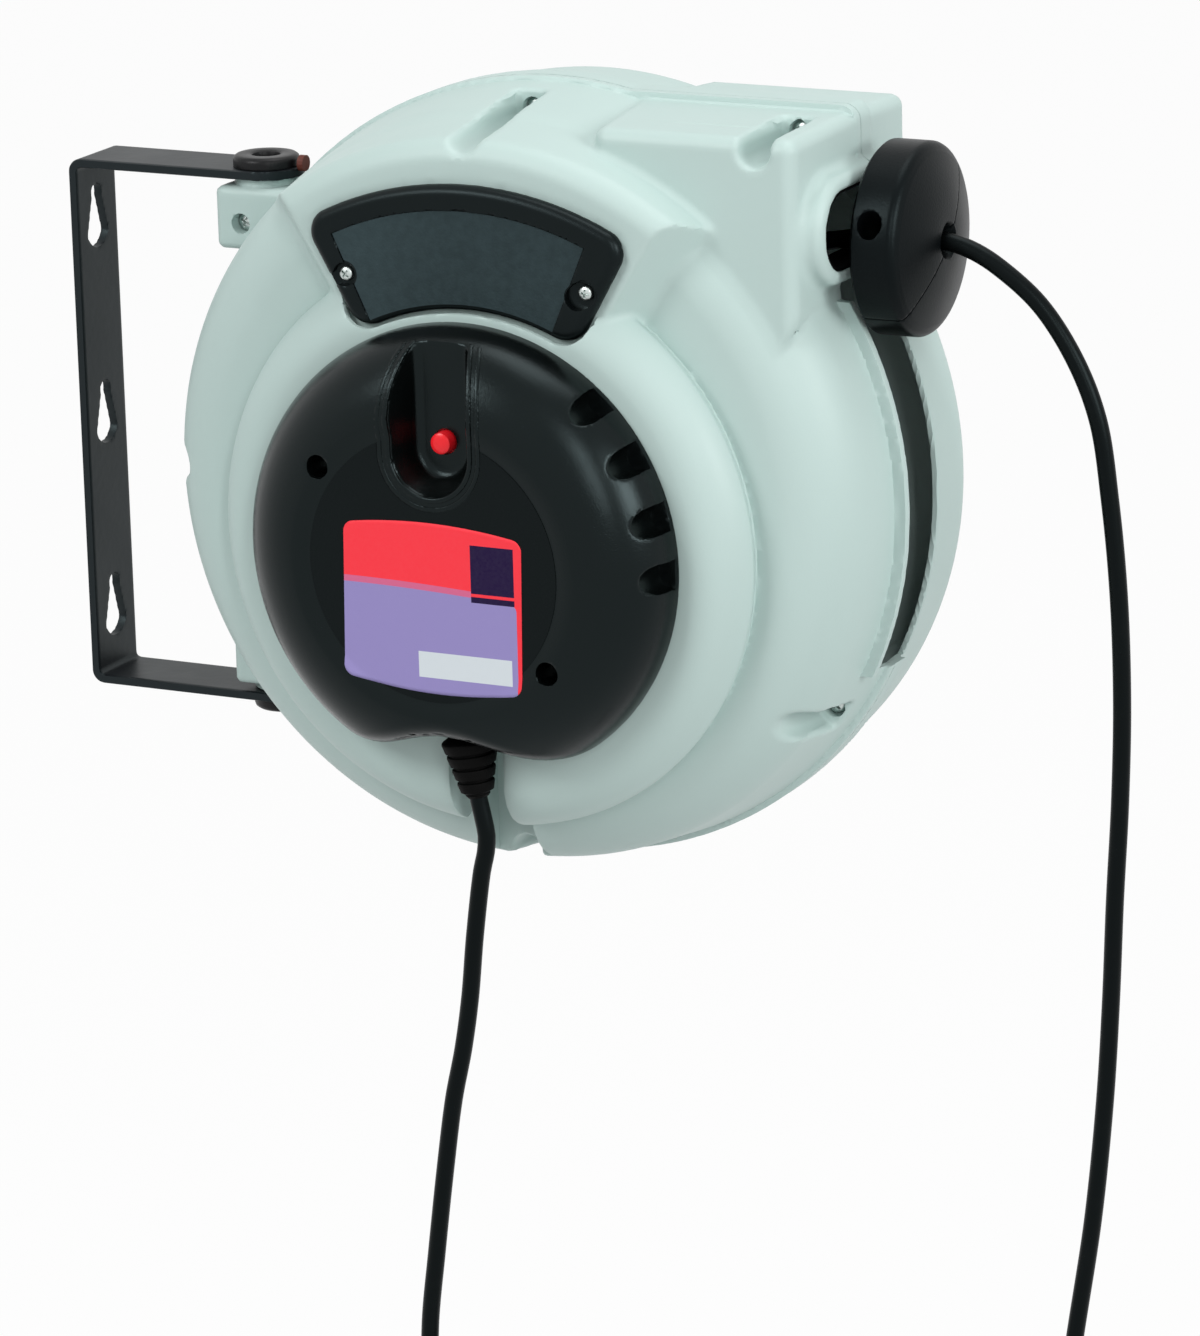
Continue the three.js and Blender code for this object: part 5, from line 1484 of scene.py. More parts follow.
# ---------------------------------------------------------------- service cover
@dataclass
class ServiceCover:
    """The round cover over the connections.

    A swelling runs round a flat middle. The button's pocket is cut from the top, four finger
    grooves from the right, and a low bay from below, over the cord.
    """

    radius: float = 109.0
    base: float = -102.3
    lip: float = 3.0
    crest: float = -140.6
    crest_radius: float = 68.0
    dip: float = 73.5
    flat: float = 64.4
    flat_front: float = -138.9
    wall: float = 3.0
    bay_top: float = -97.0
    bay_rise: float = 14.0
    bay_half: float = 58.0
    groove_radius: float = 7.0
    groove_centre: float = 107.0
    groove_angles: tuple[float, ...] = (43.0, 59.5, 75.5, 90.0)
    pocket_low: float = 54.0
    pocket_floor: float = -122.0
    pocket_half: float = 20.0
    pocket_half_floor: float = 13.8
    rims: tuple[tuple[float, float, float], ...] = ((0.0, 2.4, 0.65), (4.3, 6.6, 0.4))
    rim_back: float = -121.5
    button_rise: float = 57.0
    button_radius: float = 5.2
    button_face: float = -128.0
    button_dish: float = 1.5
    well_radius: float = 5.6
    well_floor: float = -114.0
    label_width: float = 92.5
    label_corner: float = 4.5
    trim_lift: float = 0.22
    film: float = 0.0002
    pitch: float = 1.25

    def section(self) -> list[tuple[float, float]]:
        """The dome's section from the lip to the middle.

        Outside the dip it is a quarter of an ellipse; from there a quarter sine eases it down
        to the flat, which it meets at an angle that shows as a crease.

        Returns:
            (radius, place along Y) pairs.
        """
        foot = self.base - self.lip
        wide, tall = self.radius - self.crest_radius, foot - self.crest
        turn = np.linspace(0, math.acos((self.dip - self.crest_radius) / wide), 22)
        outer = np.column_stack([self.crest_radius + wide * np.cos(turn), foot - tall * np.sin(turn)])
        r = np.linspace(self.dip, self.flat, 9)[1:]
        part = np.sin(np.pi / 2 * (r - self.flat) / (self.dip - self.flat))
        inner = np.column_stack([r, self.flat_front + (outer[-1, 1] - self.flat_front) * part])
        return [tuple(p) for p in np.vstack([outer, inner])]

    def front_at(self, r: Array) -> Array:
        """The dome's front along Y at a radius."""
        pairs = np.asarray(self.section())[::-1]
        return np.interp(r, pairs[:, 0], pairs[:, 1])

    def dome(self) -> Form:
        """The whole dome, drawn out behind its base so that cuts round only its front."""
        back = self.base + 14
        return turned("y", [(0.0, back), (self.radius, back), *self.section(), (0.0, self.flat_front)])

    def beside(self, x: Array, y: Array, z: Array) -> Array:
        """How far a place lies outside the pocket's side, measured level.

        Args:
            x, y, z: the places.

        Returns:
            The distances; the pocket narrows evenly from its edge to its floor.
        """
        lean = (self.pocket_half - self.pocket_half_floor) / (self.pocket_floor - self.flat_front)
        across = np.hypot(x, np.minimum(z - self.pocket_low, 0))
        return across - self.pocket_half_floor - lean * np.clip(self.pocket_floor - y, 0, 20)

    def pocket(self) -> Form:
        """The pocket: a U open at the top, with a hollow fillet round its floor."""
        side = Form(lambda x, y, z: self.beside(x, y, z) * 0.94)
        return side.keep(Form(lambda x, y, z: y - self.pocket_floor), 3.0)

    def bay(self) -> Form:
        """The bay over the cord: everything under a squared cosine arch.

        Returns:
            The room to cut.
        """

        def far(x: Array, y: Array, z: Array) -> Array:
            """How far a place lies above the arch, a little less than upright."""
            near = np.clip(x, -self.bay_half, self.bay_half)
            arch = self.bay_top + self.bay_rise * np.cos(np.pi * near / (2 * self.bay_half)) ** 2
            return (z - arch) * 0.95

        return Form(far)

    def groove(self, angle: float, grow: float) -> Form:
        """A finger groove: a round end that opens outwards, square to the base.

        Args:
            angle: its angle from +Z.
            grow: how much wider it is cut, for the wall.

        Returns:
            The room to cut.
        """
        half = self.groove_radius + grow
        y0, y1 = -200.0, self.base - self.lip + grow
        end = rod("y", half, y0, y1).at(dz=self.groove_centre)
        return end.join(box(-half, half, y0, y1, self.groove_centre, 160)).swung(angle)

    def shell(self) -> Form:
        """The cover's solid.

        Returns:
            The dome less its inside, its grooves, its pocket and its screws' wells.
        """
        dome = self.dome()
        wells = rod("y", self.well_radius, -200, self.well_floor)
        bores = rod("y", 2.3, -130, -95)
        inner = dome.grow(-self.wall).cut(self.pocket().grow(self.wall)).cut(self.bay().grow(self.wall))
        for angle in self.groove_angles:
            inner = inner.cut(self.groove(angle, self.wall))
        for x, z in COVER_SCREWS:
            inner = inner.cut(rod("y", self.well_radius + self.wall, -200, 0).at(x, 0, z))
        body = dome.cut(self.bay(), 9.0).cut(inner)
        for angle in self.groove_angles:
            body = body.cut(self.groove(angle, 0), 0.5)
        body = body.cut(self.pocket(), 0.8)
        for x, z in COVER_SCREWS:
            body = body.cut(wells.at(x, 0, z), 0.4).cut(bores.at(x, 0, z))
        body = body.cut(rod("y", self.button_radius + 0.9, -160, -95).at(dz=self.button_rise), 0.3)
        relief = rod("z", 6.9, -4, 8).join(box(-6.9, 6.9, 0, 30, -4, 8)).at(1.6, -112, -84)
        return body.cut(relief).keep(Form(lambda x, y, z: y - self.base))

    def rim(self, low: float, high: float, rise: float) -> Form:
        """A raised line that follows the pocket's edge over the dome.

        Args:
            low: how far outside the pocket's side it starts.
            high: how far out it ends.
            rise: its height.

        Returns:
            The line's solid.
        """
        dome = self.dome()

        def band(x: Array, y: Array, z: Array) -> Array:
            """How far a place lies outside the line's width."""
            beside = self.beside(x, y, z)
            return np.maximum(low - beside, beside - high) * 0.94

        strip = dome.grow(rise).keep(Form(band), 0.55).cut(dome.grow(-0.7))
        return strip.keep(Form(lambda x, y, z: y - self.rim_back), 0.3)

    def label_grid(self) -> bpy.types.Object:
        """The plain sticker: a grid between its upper and lower edge, laid on the cover's front.

        Columns run from its left to its right edge; the upper and the lower edge are parabolas
        that drop off by a quarter circle at the corners.

        Returns:
            The sticker.
        """
        u = 0.5 - 0.5 * np.cos(np.pi * np.linspace(0, 1, 61))
        v = np.linspace(0, 1, 49)
        width, corner = self.label_width, self.label_corner
        inset = np.maximum(corner - width * np.minimum(u, 1 - u), 0)
        drop = corner - np.sqrt(np.maximum(corner**2 - inset**2, 0))
        across = -46.5 + width * u
        high_z = 22.1 - 0.0206 * across - 0.00185 * across**2 - drop
        low_z = -59.6 - 0.0205 * across + 0.00217 * across**2 + drop
        uu, vv = np.meshgrid(u, v)
        left = -47.3 + 1.6 * vv
        right = 45.4 + 1.3 * vv
        x = left + (right - left) * uu
        z = low_z[None] + (high_z - low_z)[None] * vv
        y = np.minimum(self.front_at(np.hypot(x, z)), self.flat_front - 0.25) - self.trim_lift
        points = np.stack([x + HUB[0], y, z + HUB[1]], axis=-1).reshape(-1, 3)
        piece = put_mesh("sticker", points, grid_faces(len(v), len(u), False))
        thick = piece.modifiers.new("thickness", "SOLIDIFY")
        thick.thickness, thick.offset = self.film, -1.0
        return piece

    def middle_outline(self) -> list[tuple[float, float]]:
        """The flat middle's outline: a circle with a U left out round the pocket.

        Returns:
            Its (x, z) corners.
        """
        half = self.pocket_half + self.rims[-1][1] + 0.3
        radius = self.flat - 0.35
        start = math.degrees(math.asin(half / radius))
        circle = [polar(radius, a) for a in np.linspace(start, 360 - start, 120)]
        turns = np.linspace(0, math.pi, 41)
        return circle + [(-half * math.cos(t), self.pocket_low - half * math.sin(t)) for t in turns]

    def button(self) -> bpy.types.Object:
        """The overload button: a dished face, a stem and a collar that the spring rests on.

        Returns:
            The button.
        """
        face, radius = self.button_face, self.button_radius
        collar_front, collar_back, end = -118.0, -116.1, -113.05
        turns = np.linspace(0, math.radians(70), 7)[1:]
        dish = [(radius * math.sin(t), face + self.button_dish * (1 - math.cos(t))) for t in turns]
        collar = [(radius + 1.55, collar_front), (radius + 1.55, collar_back)]
        stem = [(radius, face + 2.4), (radius, collar_front), *collar, (2, collar_back), (2, end), (0, end)]
        return lathe("button_cap", (0, 0, self.button_rise), (0, 1, 0), [(0, face), *dish, *stem])

    def build(self) -> None:
        """Carve the cover and lay its trim on it."""
        reach, slot = self.radius + 1, "black_plastic"
        carver = Carver(self.pitch, sharp=42.0)
        shell = carver.carve("cover_shell", self.shell(), (-reach, -142, -reach), (reach, -101, reach))
        fit(shell, "casing", slot, COVER_BLACK, "connection_cover")
        fine = Carver(0.55, hold=0.03)
        for number, sizes in enumerate(self.rims, 1):
            strip = fine.carve(f"pocket_rim_{number}", self.rim(*sizes), (-28, -143, 25), (28, -120, 104))
            fit(strip, "casing", slot, COVER_BLACK)
        front, back = self.flat_front - self.trim_lift, self.flat_front + 0.3
        fit(plate("cover_middle", self.middle_outline(), front, back), "casing", slot, MIDDLE_BLACK)
        fit(self.label_grid(), "casing", slot, STICKER)
        fit(self.button(), "button", "red_button", BUTTON_RED, "reset_button")


# ---------------------------------------------------------------- arc panel
@dataclass
class ArcPanel:
    """The black panel above the cover: a soft frame round a grained field, with two screw pockets."""

    inner: float = 113.7
    outer: float = 172.4
    half: float = 29.5
    corner: float = 12.0
    front: float = -100.3
    back: float = -94.3
    field_outer: float = 160.9
    field_inner: float = 125.0
    field_left: float = -25.2
    field_right: float = 23.1
    field_depth: float = 1.0
    well: float = 5.6
    well_floor: float = -96.6
    ear: tuple[float, float] = (3.6, 2.2)
    pitch: float = 0.95

    def side(self, degrees: float, way: float) -> Form:
        """Everything on one side of a ray from the axis."""
        c, s = math.cos(math.radians(degrees)), math.sin(math.radians(degrees))
        return Form(lambda x, y, z: way * (x * c - z * s))

    def field_room(self) -> Form:
        """Room over the field: under an arc and between two rays, open below.

        Returns:
            The room to cut.
        """
        arc = Form(lambda x, y, z: np.hypot(x, z) - self.field_outer)
        room = arc.keep(self.side(self.field_left, -1.0)).keep(self.side(self.field_right, 1.0))
        return room.keep(Form(lambda x, y, z: y - self.front - self.field_depth))

    def wells(self) -> tuple[Form, Form]:
        """The two screw pockets: one with a nick beside it, one with an ear.

        Returns:
            The left and the right pocket.
        """
        x, z, floor = PANEL_SCREW_X, PANEL_SCREW_Z, self.well_floor
        nick = box(-16, 0, -130, floor, -2.6, 3.4).swung(-28).at(-x, 0, z)
        left = rod("y", self.well, -130, floor).at(-x, 0, z).join(nick, 1.0)
        ear = rod("y", 6.0, -130, floor).at(x - self.ear[0], 0, z - self.ear[1])
        return left, rod("y", 6.3, -130, floor).at(x, 0, z).join(ear, 2.0)

    def body(self) -> Form:
        """The panel's solid.

        Returns:
            The frame with its field let in, a soft lower edge and its pockets.
        """
        plan = sector(self.inner, self.outer, self.half, self.corner)
        block = plan.keep(Form(lambda x, y, z: self.front - y), 4.6).cut(self.field_room())
        lower = Form(lambda x, y, z: self.inner - np.hypot(x, z))
        edge = lower.keep(Form(lambda x, y, z: self.front + self.field_depth - y), 3.2)
        edge = edge.join(self.side(self.field_left, 1.0)).join(self.side(self.field_right, -1.0))
        block = block.keep(edge.join(Form(lambda x, y, z: self.field_inner - np.hypot(x, z))))
        for well in self.wells():
            block = block.cut(well, 0.6)
        for x in (-PANEL_SCREW_X, PANEL_SCREW_X):
            block = block.cut(rod("y", 2.1, -120, -80).at(x, 0, PANEL_SCREW_Z))
        return block.keep(Form(lambda x, y, z: y - self.back), 0.3)

    def field_outline(self) -> Array:
        """The grained field's outline: two arcs and two straight ends, less a bite round each screw.

        A bite moves the end's points level, onto a circle about its screw.

        Returns:
            (n, 2) corners, as x and z.
        """
        gap, radius, points = 0.35, 6.6, 60
        low, high = self.inner + 2.9, self.field_outer - gap
        left, right = self.field_left + 0.14, self.field_right - 0.14
        top = [polar(high, a) for a in np.linspace(left, right, 50)]
        bottom = [polar(low, a) for a in np.linspace(right, left, 50)]
        x, z = np.array([polar(r, right) for r in np.linspace(high, low, points)])[1:-1].T
        over, up = x - (PANEL_SCREW_X - self.ear[0]), z - (PANEL_SCREW_Z - self.ear[1])
        push = np.maximum(np.sqrt(np.maximum(radius**2 - up**2, 0)) + over, 0)
        right_end = np.column_stack([np.where(np.hypot(over, up) < radius, x - push, x), z])
        x, z = np.array([polar(r, left) for r in np.linspace(low, high, points)])[1:-1].T
        reach = radius**2 - (z - PANEL_SCREW_Z) ** 2
        edge = np.where(reach > 0, np.sqrt(np.maximum(reach, 0)) - PANEL_SCREW_X, x)
        left_end = np.column_stack([np.maximum(x, edge), z])
        return np.vstack([top, right_end, bottom, left_end])

    def build(self) -> None:
        """Carve the panel and lay its field in."""
        carver = Carver(self.pitch, sharp=30.0)
        panel = carver.carve("arc_panel_shell", self.body(), (-82, -101, 101), (82, -93, 174))
        fit(panel, "casing", "black_plastic", FRAME_BLACK, "arc_panel")
        field = plate("panel_field", self.field_outline(), self.front + 0.72, self.front + 1.3)
        fit(field, "casing", "black_plastic", PANEL_BLACK)


# ---------------------------------------------------------------- cord stop
@dataclass
class CordStop:
    """The bell-shaped stop on the outlet cord, in two screwed halves.

    Places along the bell are taken from the seat, where it meets the mouth.
    """

    seat: float = 170.4
    radius: float = 45.5
    shoulder_start: float = 18.2
    crown: float = 30.5
    nose: float = 9.0
    bore: float = 4.65
    split: float = 45.0
    gap: float = 0.22
    head_radius: float = 6.0
    bore_radius: float = 2.4
    screw_place: tuple[float, float] = (9.8, 20.0)
    pitch: float = 0.95

    def bell(self) -> Form:
        """The bell about the cord: a boss, a straight band, a soft shoulder and a low crown.

        The shoulder is part of an ellipse, and the crown falls as a power of the radius.

        Returns:
            The turned solid.
        """
        turns, start = np.radians(np.linspace(0, 68, 9)), self.shoulder_start
        shoulder = [(self.radius - 5.5 * (1 - math.cos(t)), start + 5.0 * math.sin(t)) for t in turns]
        radii = np.linspace(shoulder[-1][0] - 1.2, self.nose, 12)
        crown = [(r, self.crown - 7.6 * ((r - self.nose) / 33.6) ** 1.6) for r in radii]
        boss = [(6.5, -5), (17, -5), (18, -4), (18, 0.2), (44, 0.2), (self.radius, 1.7)]
        inside = [(8.2, 29.6), (6.2, 25.6), (self.bore, 21.6), (self.bore, 6)]
        return turned("x", [*boss, *shoulder, *crown, *inside])

    def half(self, half: Half) -> Form:
        """One half, cut on the slanted plane, with both screws' bores.

        Args:
            half: which half.

        Returns:
            The half, in its place on the cord.
        """
        root = math.sqrt(0.5)
        keep = Form(lambda x, y, z: self.gap + half.value * (z - y) * root)
        body = self.bell().keep(keep, 0.35)
        along, aside = self.screw_place
        for way, head, thread in ((-1, (14, 70), (-30, 20)), (1, (-70, -14), (-20, 30))):
            screw = rod("z", self.head_radius, *head).join(rod("z", self.bore_radius, *thread))
            body = body.cut(screw.at(along, way * aside, 0).tipped(self.split), 0.5)
        return body.at(self.seat, 0, MOUTH_RISE)

    def build(self) -> None:
        """Carve both halves."""
        carver = Carver(self.pitch, hold=0.04)
        for half in Half:
            name = half.name.lower()
            piece = carver.carve(f"stop_{name}", self.half(half), (164, -47, 94), (202, 47, 189))
            fit(piece, "lead", "black_plastic", STOP_BLACK, f"stop_half_{name}")


# ---------------------------------------------------------------- bracket and pins
@dataclass
class Bracket:
    """The bent steel strip on the wall, with keyholes, and the pins that the reel swivels on."""

    wall: float = -258.95
    high: float = 153.0
    low: float = -113.0
    width: float = 37.0
    thickness: float = 4.4
    bend: float = 7.0
    edge: float = 0.7
    keyholes: tuple[float, ...] = (116.0, 17.0, -82.0)
    round_end: float = 10.5
    neck: float = 5.0
    neck_rise: float = 16.5
    pin_radius: float = 9.0
    flange: float = 16.2
    flange_rise: float = 5.8
    pin_bore: float = 6.5
    pin_length: float = 18.4
    pitch: float = 1.2

    def keyhole(self, z0: float) -> Form:
        """A keyhole whose sides run straight from the large round end to the small one.

        The distance is that to a tapered rod: level beside its middle line, where the radius
        falls evenly from one end to the other.

        Args:
            z0: height of the large end's middle.

        Returns:
            The room to cut, through the plate on the wall.
        """
        fall = (self.round_end - self.neck) / self.neck_rise

        def far(x: Array, y: Array, z: Array) -> Array:
            """The keyhole's distance, cut off in front of the plate."""
            up = z - z0
            shift = np.clip(up + np.abs(y) * fall / math.sqrt(1 - fall * fall), 0, self.neck_rise)
            around = np.hypot(y, up - shift) - (self.round_end - fall * shift)
            return np.maximum(around, x - self.wall - self.thickness - 1)

        return Form(far)

    def loop(self, inset: float) -> Form:
        """Everything inside a loop that runs along the strip and on without end on its open side.

        Args:
            inset: how far inside the strip's outer surface it lies.

        Returns:
            The loop's inside, a block with round corners at the wall.
        """
        half, middle = (self.high - self.low) / 2, (self.high + self.low) / 2
        radius = self.bend - inset

        def far(x: Array, y: Array, z: Array) -> Array:
            """The loop's distance."""
            back = self.wall + inset + radius - x
            end = np.abs(z - middle) - half + inset + radius
            out = np.hypot(np.maximum(back, 0), np.maximum(end, 0))
            return out + np.minimum(np.maximum(back, end), 0) - radius

        return Form(far)

    def plan(self, x: Array, y: Array, z: Array) -> Array:
        """How far a place lies outside the strip's width, which ends round about the pins."""
        return np.where(x > SWIVEL_X, np.hypot(x - SWIVEL_X, y), np.abs(y)) - self.width / 2

    def strip(self) -> Form:
        """The bent strip with its round ends.

        Returns:
            The strip, with its keyholes and the pins' holes.
        """
        body = self.loop(0.0).keep(Form(self.plan), self.edge).cut(self.loop(self.thickness), self.edge)
        for z0 in self.keyholes:
            body = body.cut(self.keyhole(z0), 0.6)
        return body.cut(rod("z", self.pin_radius + 0.3, -200, 200).at(dx=SWIVEL_X))

    def pin(self, end: End) -> bpy.types.Object:
        """A hollow flanged pin in its arm.

        Args:
            end: which arm.

        Returns:
            The pin.
        """
        inner, outer, bore, top = -self.pin_length, self.flange, self.pin_bore, self.flange_rise
        profile = [
            (0, inner), (6.4, inner), (8.2, inner), (self.pin_radius, -17.6), (self.pin_radius, 0.3),
            (outer, 0.3), (16.25, 3.4), (15.8, 4.7), (14.6, 5.6), (13.2, top), (8.2, top), (7.0, 5.2),
            (bore, 3.8), (bore, -12), (0, -12),
        ]
        arm = self.high if end is End.TOP else self.low
        return lathe(f"pin_{end.name.lower()}", (SWIVEL_X, 0, arm), (0, 0, end.value), profile, 64)

    def build(self) -> None:
        """Carve the strip, and turn the pins."""
        low, high = (self.wall - 1, -20, self.low - 1), (SWIVEL_X + 20, 20, self.high + 1)
        strip = Carver(self.pitch, hold=0.04).carve("bracket_strip", self.strip(), low, high)
        fit(strip, "bracket", "bracket", BRACKET_BLACK, "wall_bracket")
        for end in End:
            fit(self.pin(end), "bracket", "black_plastic", BLACK_PLASTIC, f"swivel_pin_{end.name.lower()}")


# ---------------------------------------------------------------- ends of the cords
@dataclass
class CordEnds:
    """Strain relief, trailing socket, plug and the plug's pins."""

    relief_foot: tuple[float, float, float] = (1.6, -112.0, -82.5)
    lean: float = 8.0
    collars: int = 4
    collar_step: float = 6.6
    collar_fall: float = 1.5
    socket_at: tuple[float, float, float] = (248.0, 0.0, -556.0)
    plug_at: tuple[float, float, float] = (-30.0, -102.2, -644.6)
    pin_radius: float = 2.4
    pitch: float = 0.9

    def relief(self) -> bpy.types.Object:
        """A tapered sleeve of stacked collars, turned about the leaning cord.

        Returns:
            The sleeve.
        """
        profile = [(0, 6.5), (8.9, 6.5), (8.9, 3.2), (6.5, 3.2), (6.5, -3.7), (10.2, -4.6), (12.9, -6.2)]
        top, size = -6.6, 13.3
        for _ in range(self.collars):
            profile += [(size, top), (size + 0.15, top - 0.8), (size - 0.9, top - 4.6)]
            profile += [(size - 1.7, top - 5.0), (size - 3.0, top - 5.3), (size - 3.0, top - 6.3)]
            top, size = top - self.collar_step, size - self.collar_fall
        profile += [(6.0, top + 0.2), (5.0, -34.0), (0, -34.0)]
        way = (-math.sin(math.radians(self.lean)), 0.0, math.cos(math.radians(self.lean)))
        return lathe("relief_sleeve", self.relief_foot, way, profile)

    def neck_grooves(self, body: Form, places: Sequence[float], floor: float) -> Form:
        """A body with grooves turned into its neck.

        Args:
            body: the body.
            places: the grooves' places along Z.
            floor: the radius left in a groove.

        Returns:
            The grooved body.
        """
        for z in places:
            body = body.cut(rod("z", 20, z - 0.7, z + 0.7).cut(rod("z", floor, -30, 0)), 0.3)
        return body

    def socket(self) -> Form:
        """The trailing socket: a ribbed neck, a round body, a recess and its contacts' holes.

        Returns:
            The socket, with the cord's end at the origin.
        """
        body = turned("z", [
            (0, -0.3), (6.2, -0.3), (7.4, -1.2), (9.3, -13.5), (11.4, -18), (16, -24), (22, -29.4),
            (23.6, -32.4), (24, -36), (24, -76.8), (22.8, -78), (20.2, -78), (19.6, -77.2), (19.6, -61),
            (0, -61),
        ])
        body = self.neck_grooves(body, (-5.0, -8.4, -11.8), 7.2)
        for i in range(10):
            body = body.cut(self.flute(36.0 * i), 0.5)
        for side in (-PIN_SPREAD, PIN_SPREAD):
            body = body.cut(rod("z", 2.8, -70, -44).at(dy=side), 0.5)
        return body

    def flute(self, degrees: float) -> Form:
        """A shallow upright groove in the socket's side."""
        x, y = 25.2 * math.cos(math.radians(degrees)), 25.2 * math.sin(math.radians(degrees))
        return rod("z", 2.2, -68, -42, 2.0).at(x, y, 0)

    def plug_body(self) -> Form:
        """The plug: a ribbed neck, a waist for the fingers and a flat face with two recesses.

        Returns:
            The plug, with the cord's end at the origin.
        """
        body = turned("z", [
            (0, -0.3), (5.8, -0.3), (7, -1.2), (8.9, -11.5), (11, -16), (13.5, -20.5), (17.2, -24.6),
            (18.5, -27), (18.5, -32), (17.6, -34), (16.5, -36), (16.5, -51.2), (15.6, -52), (0, -52),
        ])
        body = self.neck_grooves(body, (-4.6, -7.6, -10.6), 6.9)
        for side in (-PIN_SPREAD, PIN_SPREAD):
            body = body.cut(rod("z", 2.7, -60, -40).at(dy=side), 0.3)
        for side in (-17.4, 17.4):
            body = body.cut(box(side - 2, side + 2, -4, 4, -60, -40), 0.5)
        return body

    def build(self) -> None:
        """Make the ends."""
        fit(self.relief(), "casing", "cord", RELIEF_BLACK, "strain_relief")
        carver = Carver(self.pitch)
        x, y, z = self.socket_at
        low, high = (x - 26, -26, z - 80), (x + 26, 26, z + 1)
        socket = carver.carve("trailing_socket", self.socket().at(x, y, z), low, high)
        fit(socket, "lead", "cord", STOP_BLACK, "outlet_socket")
        x, y, z = self.plug_at
        low, high = (x - 21, y - 21, z - 54), (x + 21, y + 21, z + 1)
        plug = carver.carve("plug_body", self.plug_body().at(x, y, z), low, high)
        fit(plug, "casing", "cord", STOP_BLACK, "supply_plug")
        r = self.pin_radius
        profile = [(0, 0.05), (r - 0.05, 0.05), (r, 0.2), (r, 28.0), (r - 0.4, 29.6), (1.1, 30.4), (0, 30.5)]
        for number, side in ((1, -PIN_SPREAD), (2, PIN_SPREAD)):
            pin = lathe(f"pin_{number}", (x, y + side, z - 40.5), (0, 0, -1), profile, 28)
            fit(pin, "casing", "zinc", ZINC, f"plug_pin_{number}")


# ---------------------------------------------------------------- screws
@dataclass(frozen=True)
class Pan:
    """A pan-head screw's sizes: its head's radius and height, its shank's, and where it starts and ends."""

    head: float
    tall: float
    shank: float
    top: float
    end: float

    def form(self, turn: float) -> Form:
        """A domed head with a cross recess, over a plain shank.

        Args:
            turn: the cross's angle in degrees.

        Returns:
            The screw, on the drum's axis.
        """
        neck = self.top + self.tall
        turns = np.radians(np.linspace(0, 84, 8))
        dome = [(self.head * math.sin(t), self.top + self.tall * 0.62 * (1 - math.cos(t))) for t in turns]
        shank, end = self.shank, self.end
        shaft = [(shank, neck), (shank, end - 1.2), (shank * 0.45, end), (0, end)]
        long, wide = self.head * 0.6, self.head * 0.13
        arm = box(-long, long, self.top - 3, self.top + self.tall * 0.75, -wide, wide)
        solid = turned("y", [*dome, (self.head, neck), *shaft])
        return solid.cut(arm.swung(turn), 0.1).cut(arm.swung(turn + 90), 0.1)


@dataclass
class Screws:
    """Plated screws with cross recesses, whose heads face the front."""

    casing: Pan = Pan(4.55, 3.4, 2.2, -15.75, 27.7)
    lug: Pan = Pan(4.35, 3.0, 2.0, -14.15, 12.7)
    panel: Pan = Pan(3.45, 2.4, 1.7, -99.05, -85.0)
    cover: Pan = Pan(3.95, 3.2, 1.8, -117.25, -90.4)
    panel_rise: float = 126.51
    margin: float = 0.5
    pitch: float = 0.5

    def add(self, node: str, x: float, z: float, pan: Pan, turn: float) -> None:
        """Carve one screw in the place of its node.

        Args:
            node: the CAD node.
            x, z: the screw's place.
            pan: its sizes.
            turn: the cross's angle in degrees.
        """
        form, reach = pan.form(turn).at(x, 0, z), pan.head + self.margin
        low = (x - reach, pan.top - self.margin, z - reach)
        high = (x + reach, pan.end + self.margin, z + reach)
        piece = Carver(self.pitch, block=6).carve(f"{node}_head", form, low, high)
        fit(piece, "casing", "zinc", ZINC, node)

    def build(self) -> None:
        """All the screws that show."""
        for number, (x, z) in enumerate(CASING_SCREWS, 1):
            self.add(f"casing_screw_{number}", x, z, self.casing, 17.0 * number)
        self.add("lug_screw_top", SWIVEL_X - 5, 127.3, self.lug, 24)
        self.add("lug_screw_bottom", SWIVEL_X - 5, -87.3, self.lug, 61)
        self.add("arc_panel_screw_left", -PANEL_SCREW_X, self.panel_rise, self.panel, 38)
        self.add("arc_panel_screw_right", PANEL_SCREW_X, self.panel_rise, self.panel, 9)
        for number, (x, z) in enumerate(COVER_SCREWS, 1):
            self.add(f"cover_screw_{number}", x, z, self.cover, 30.0 * number)


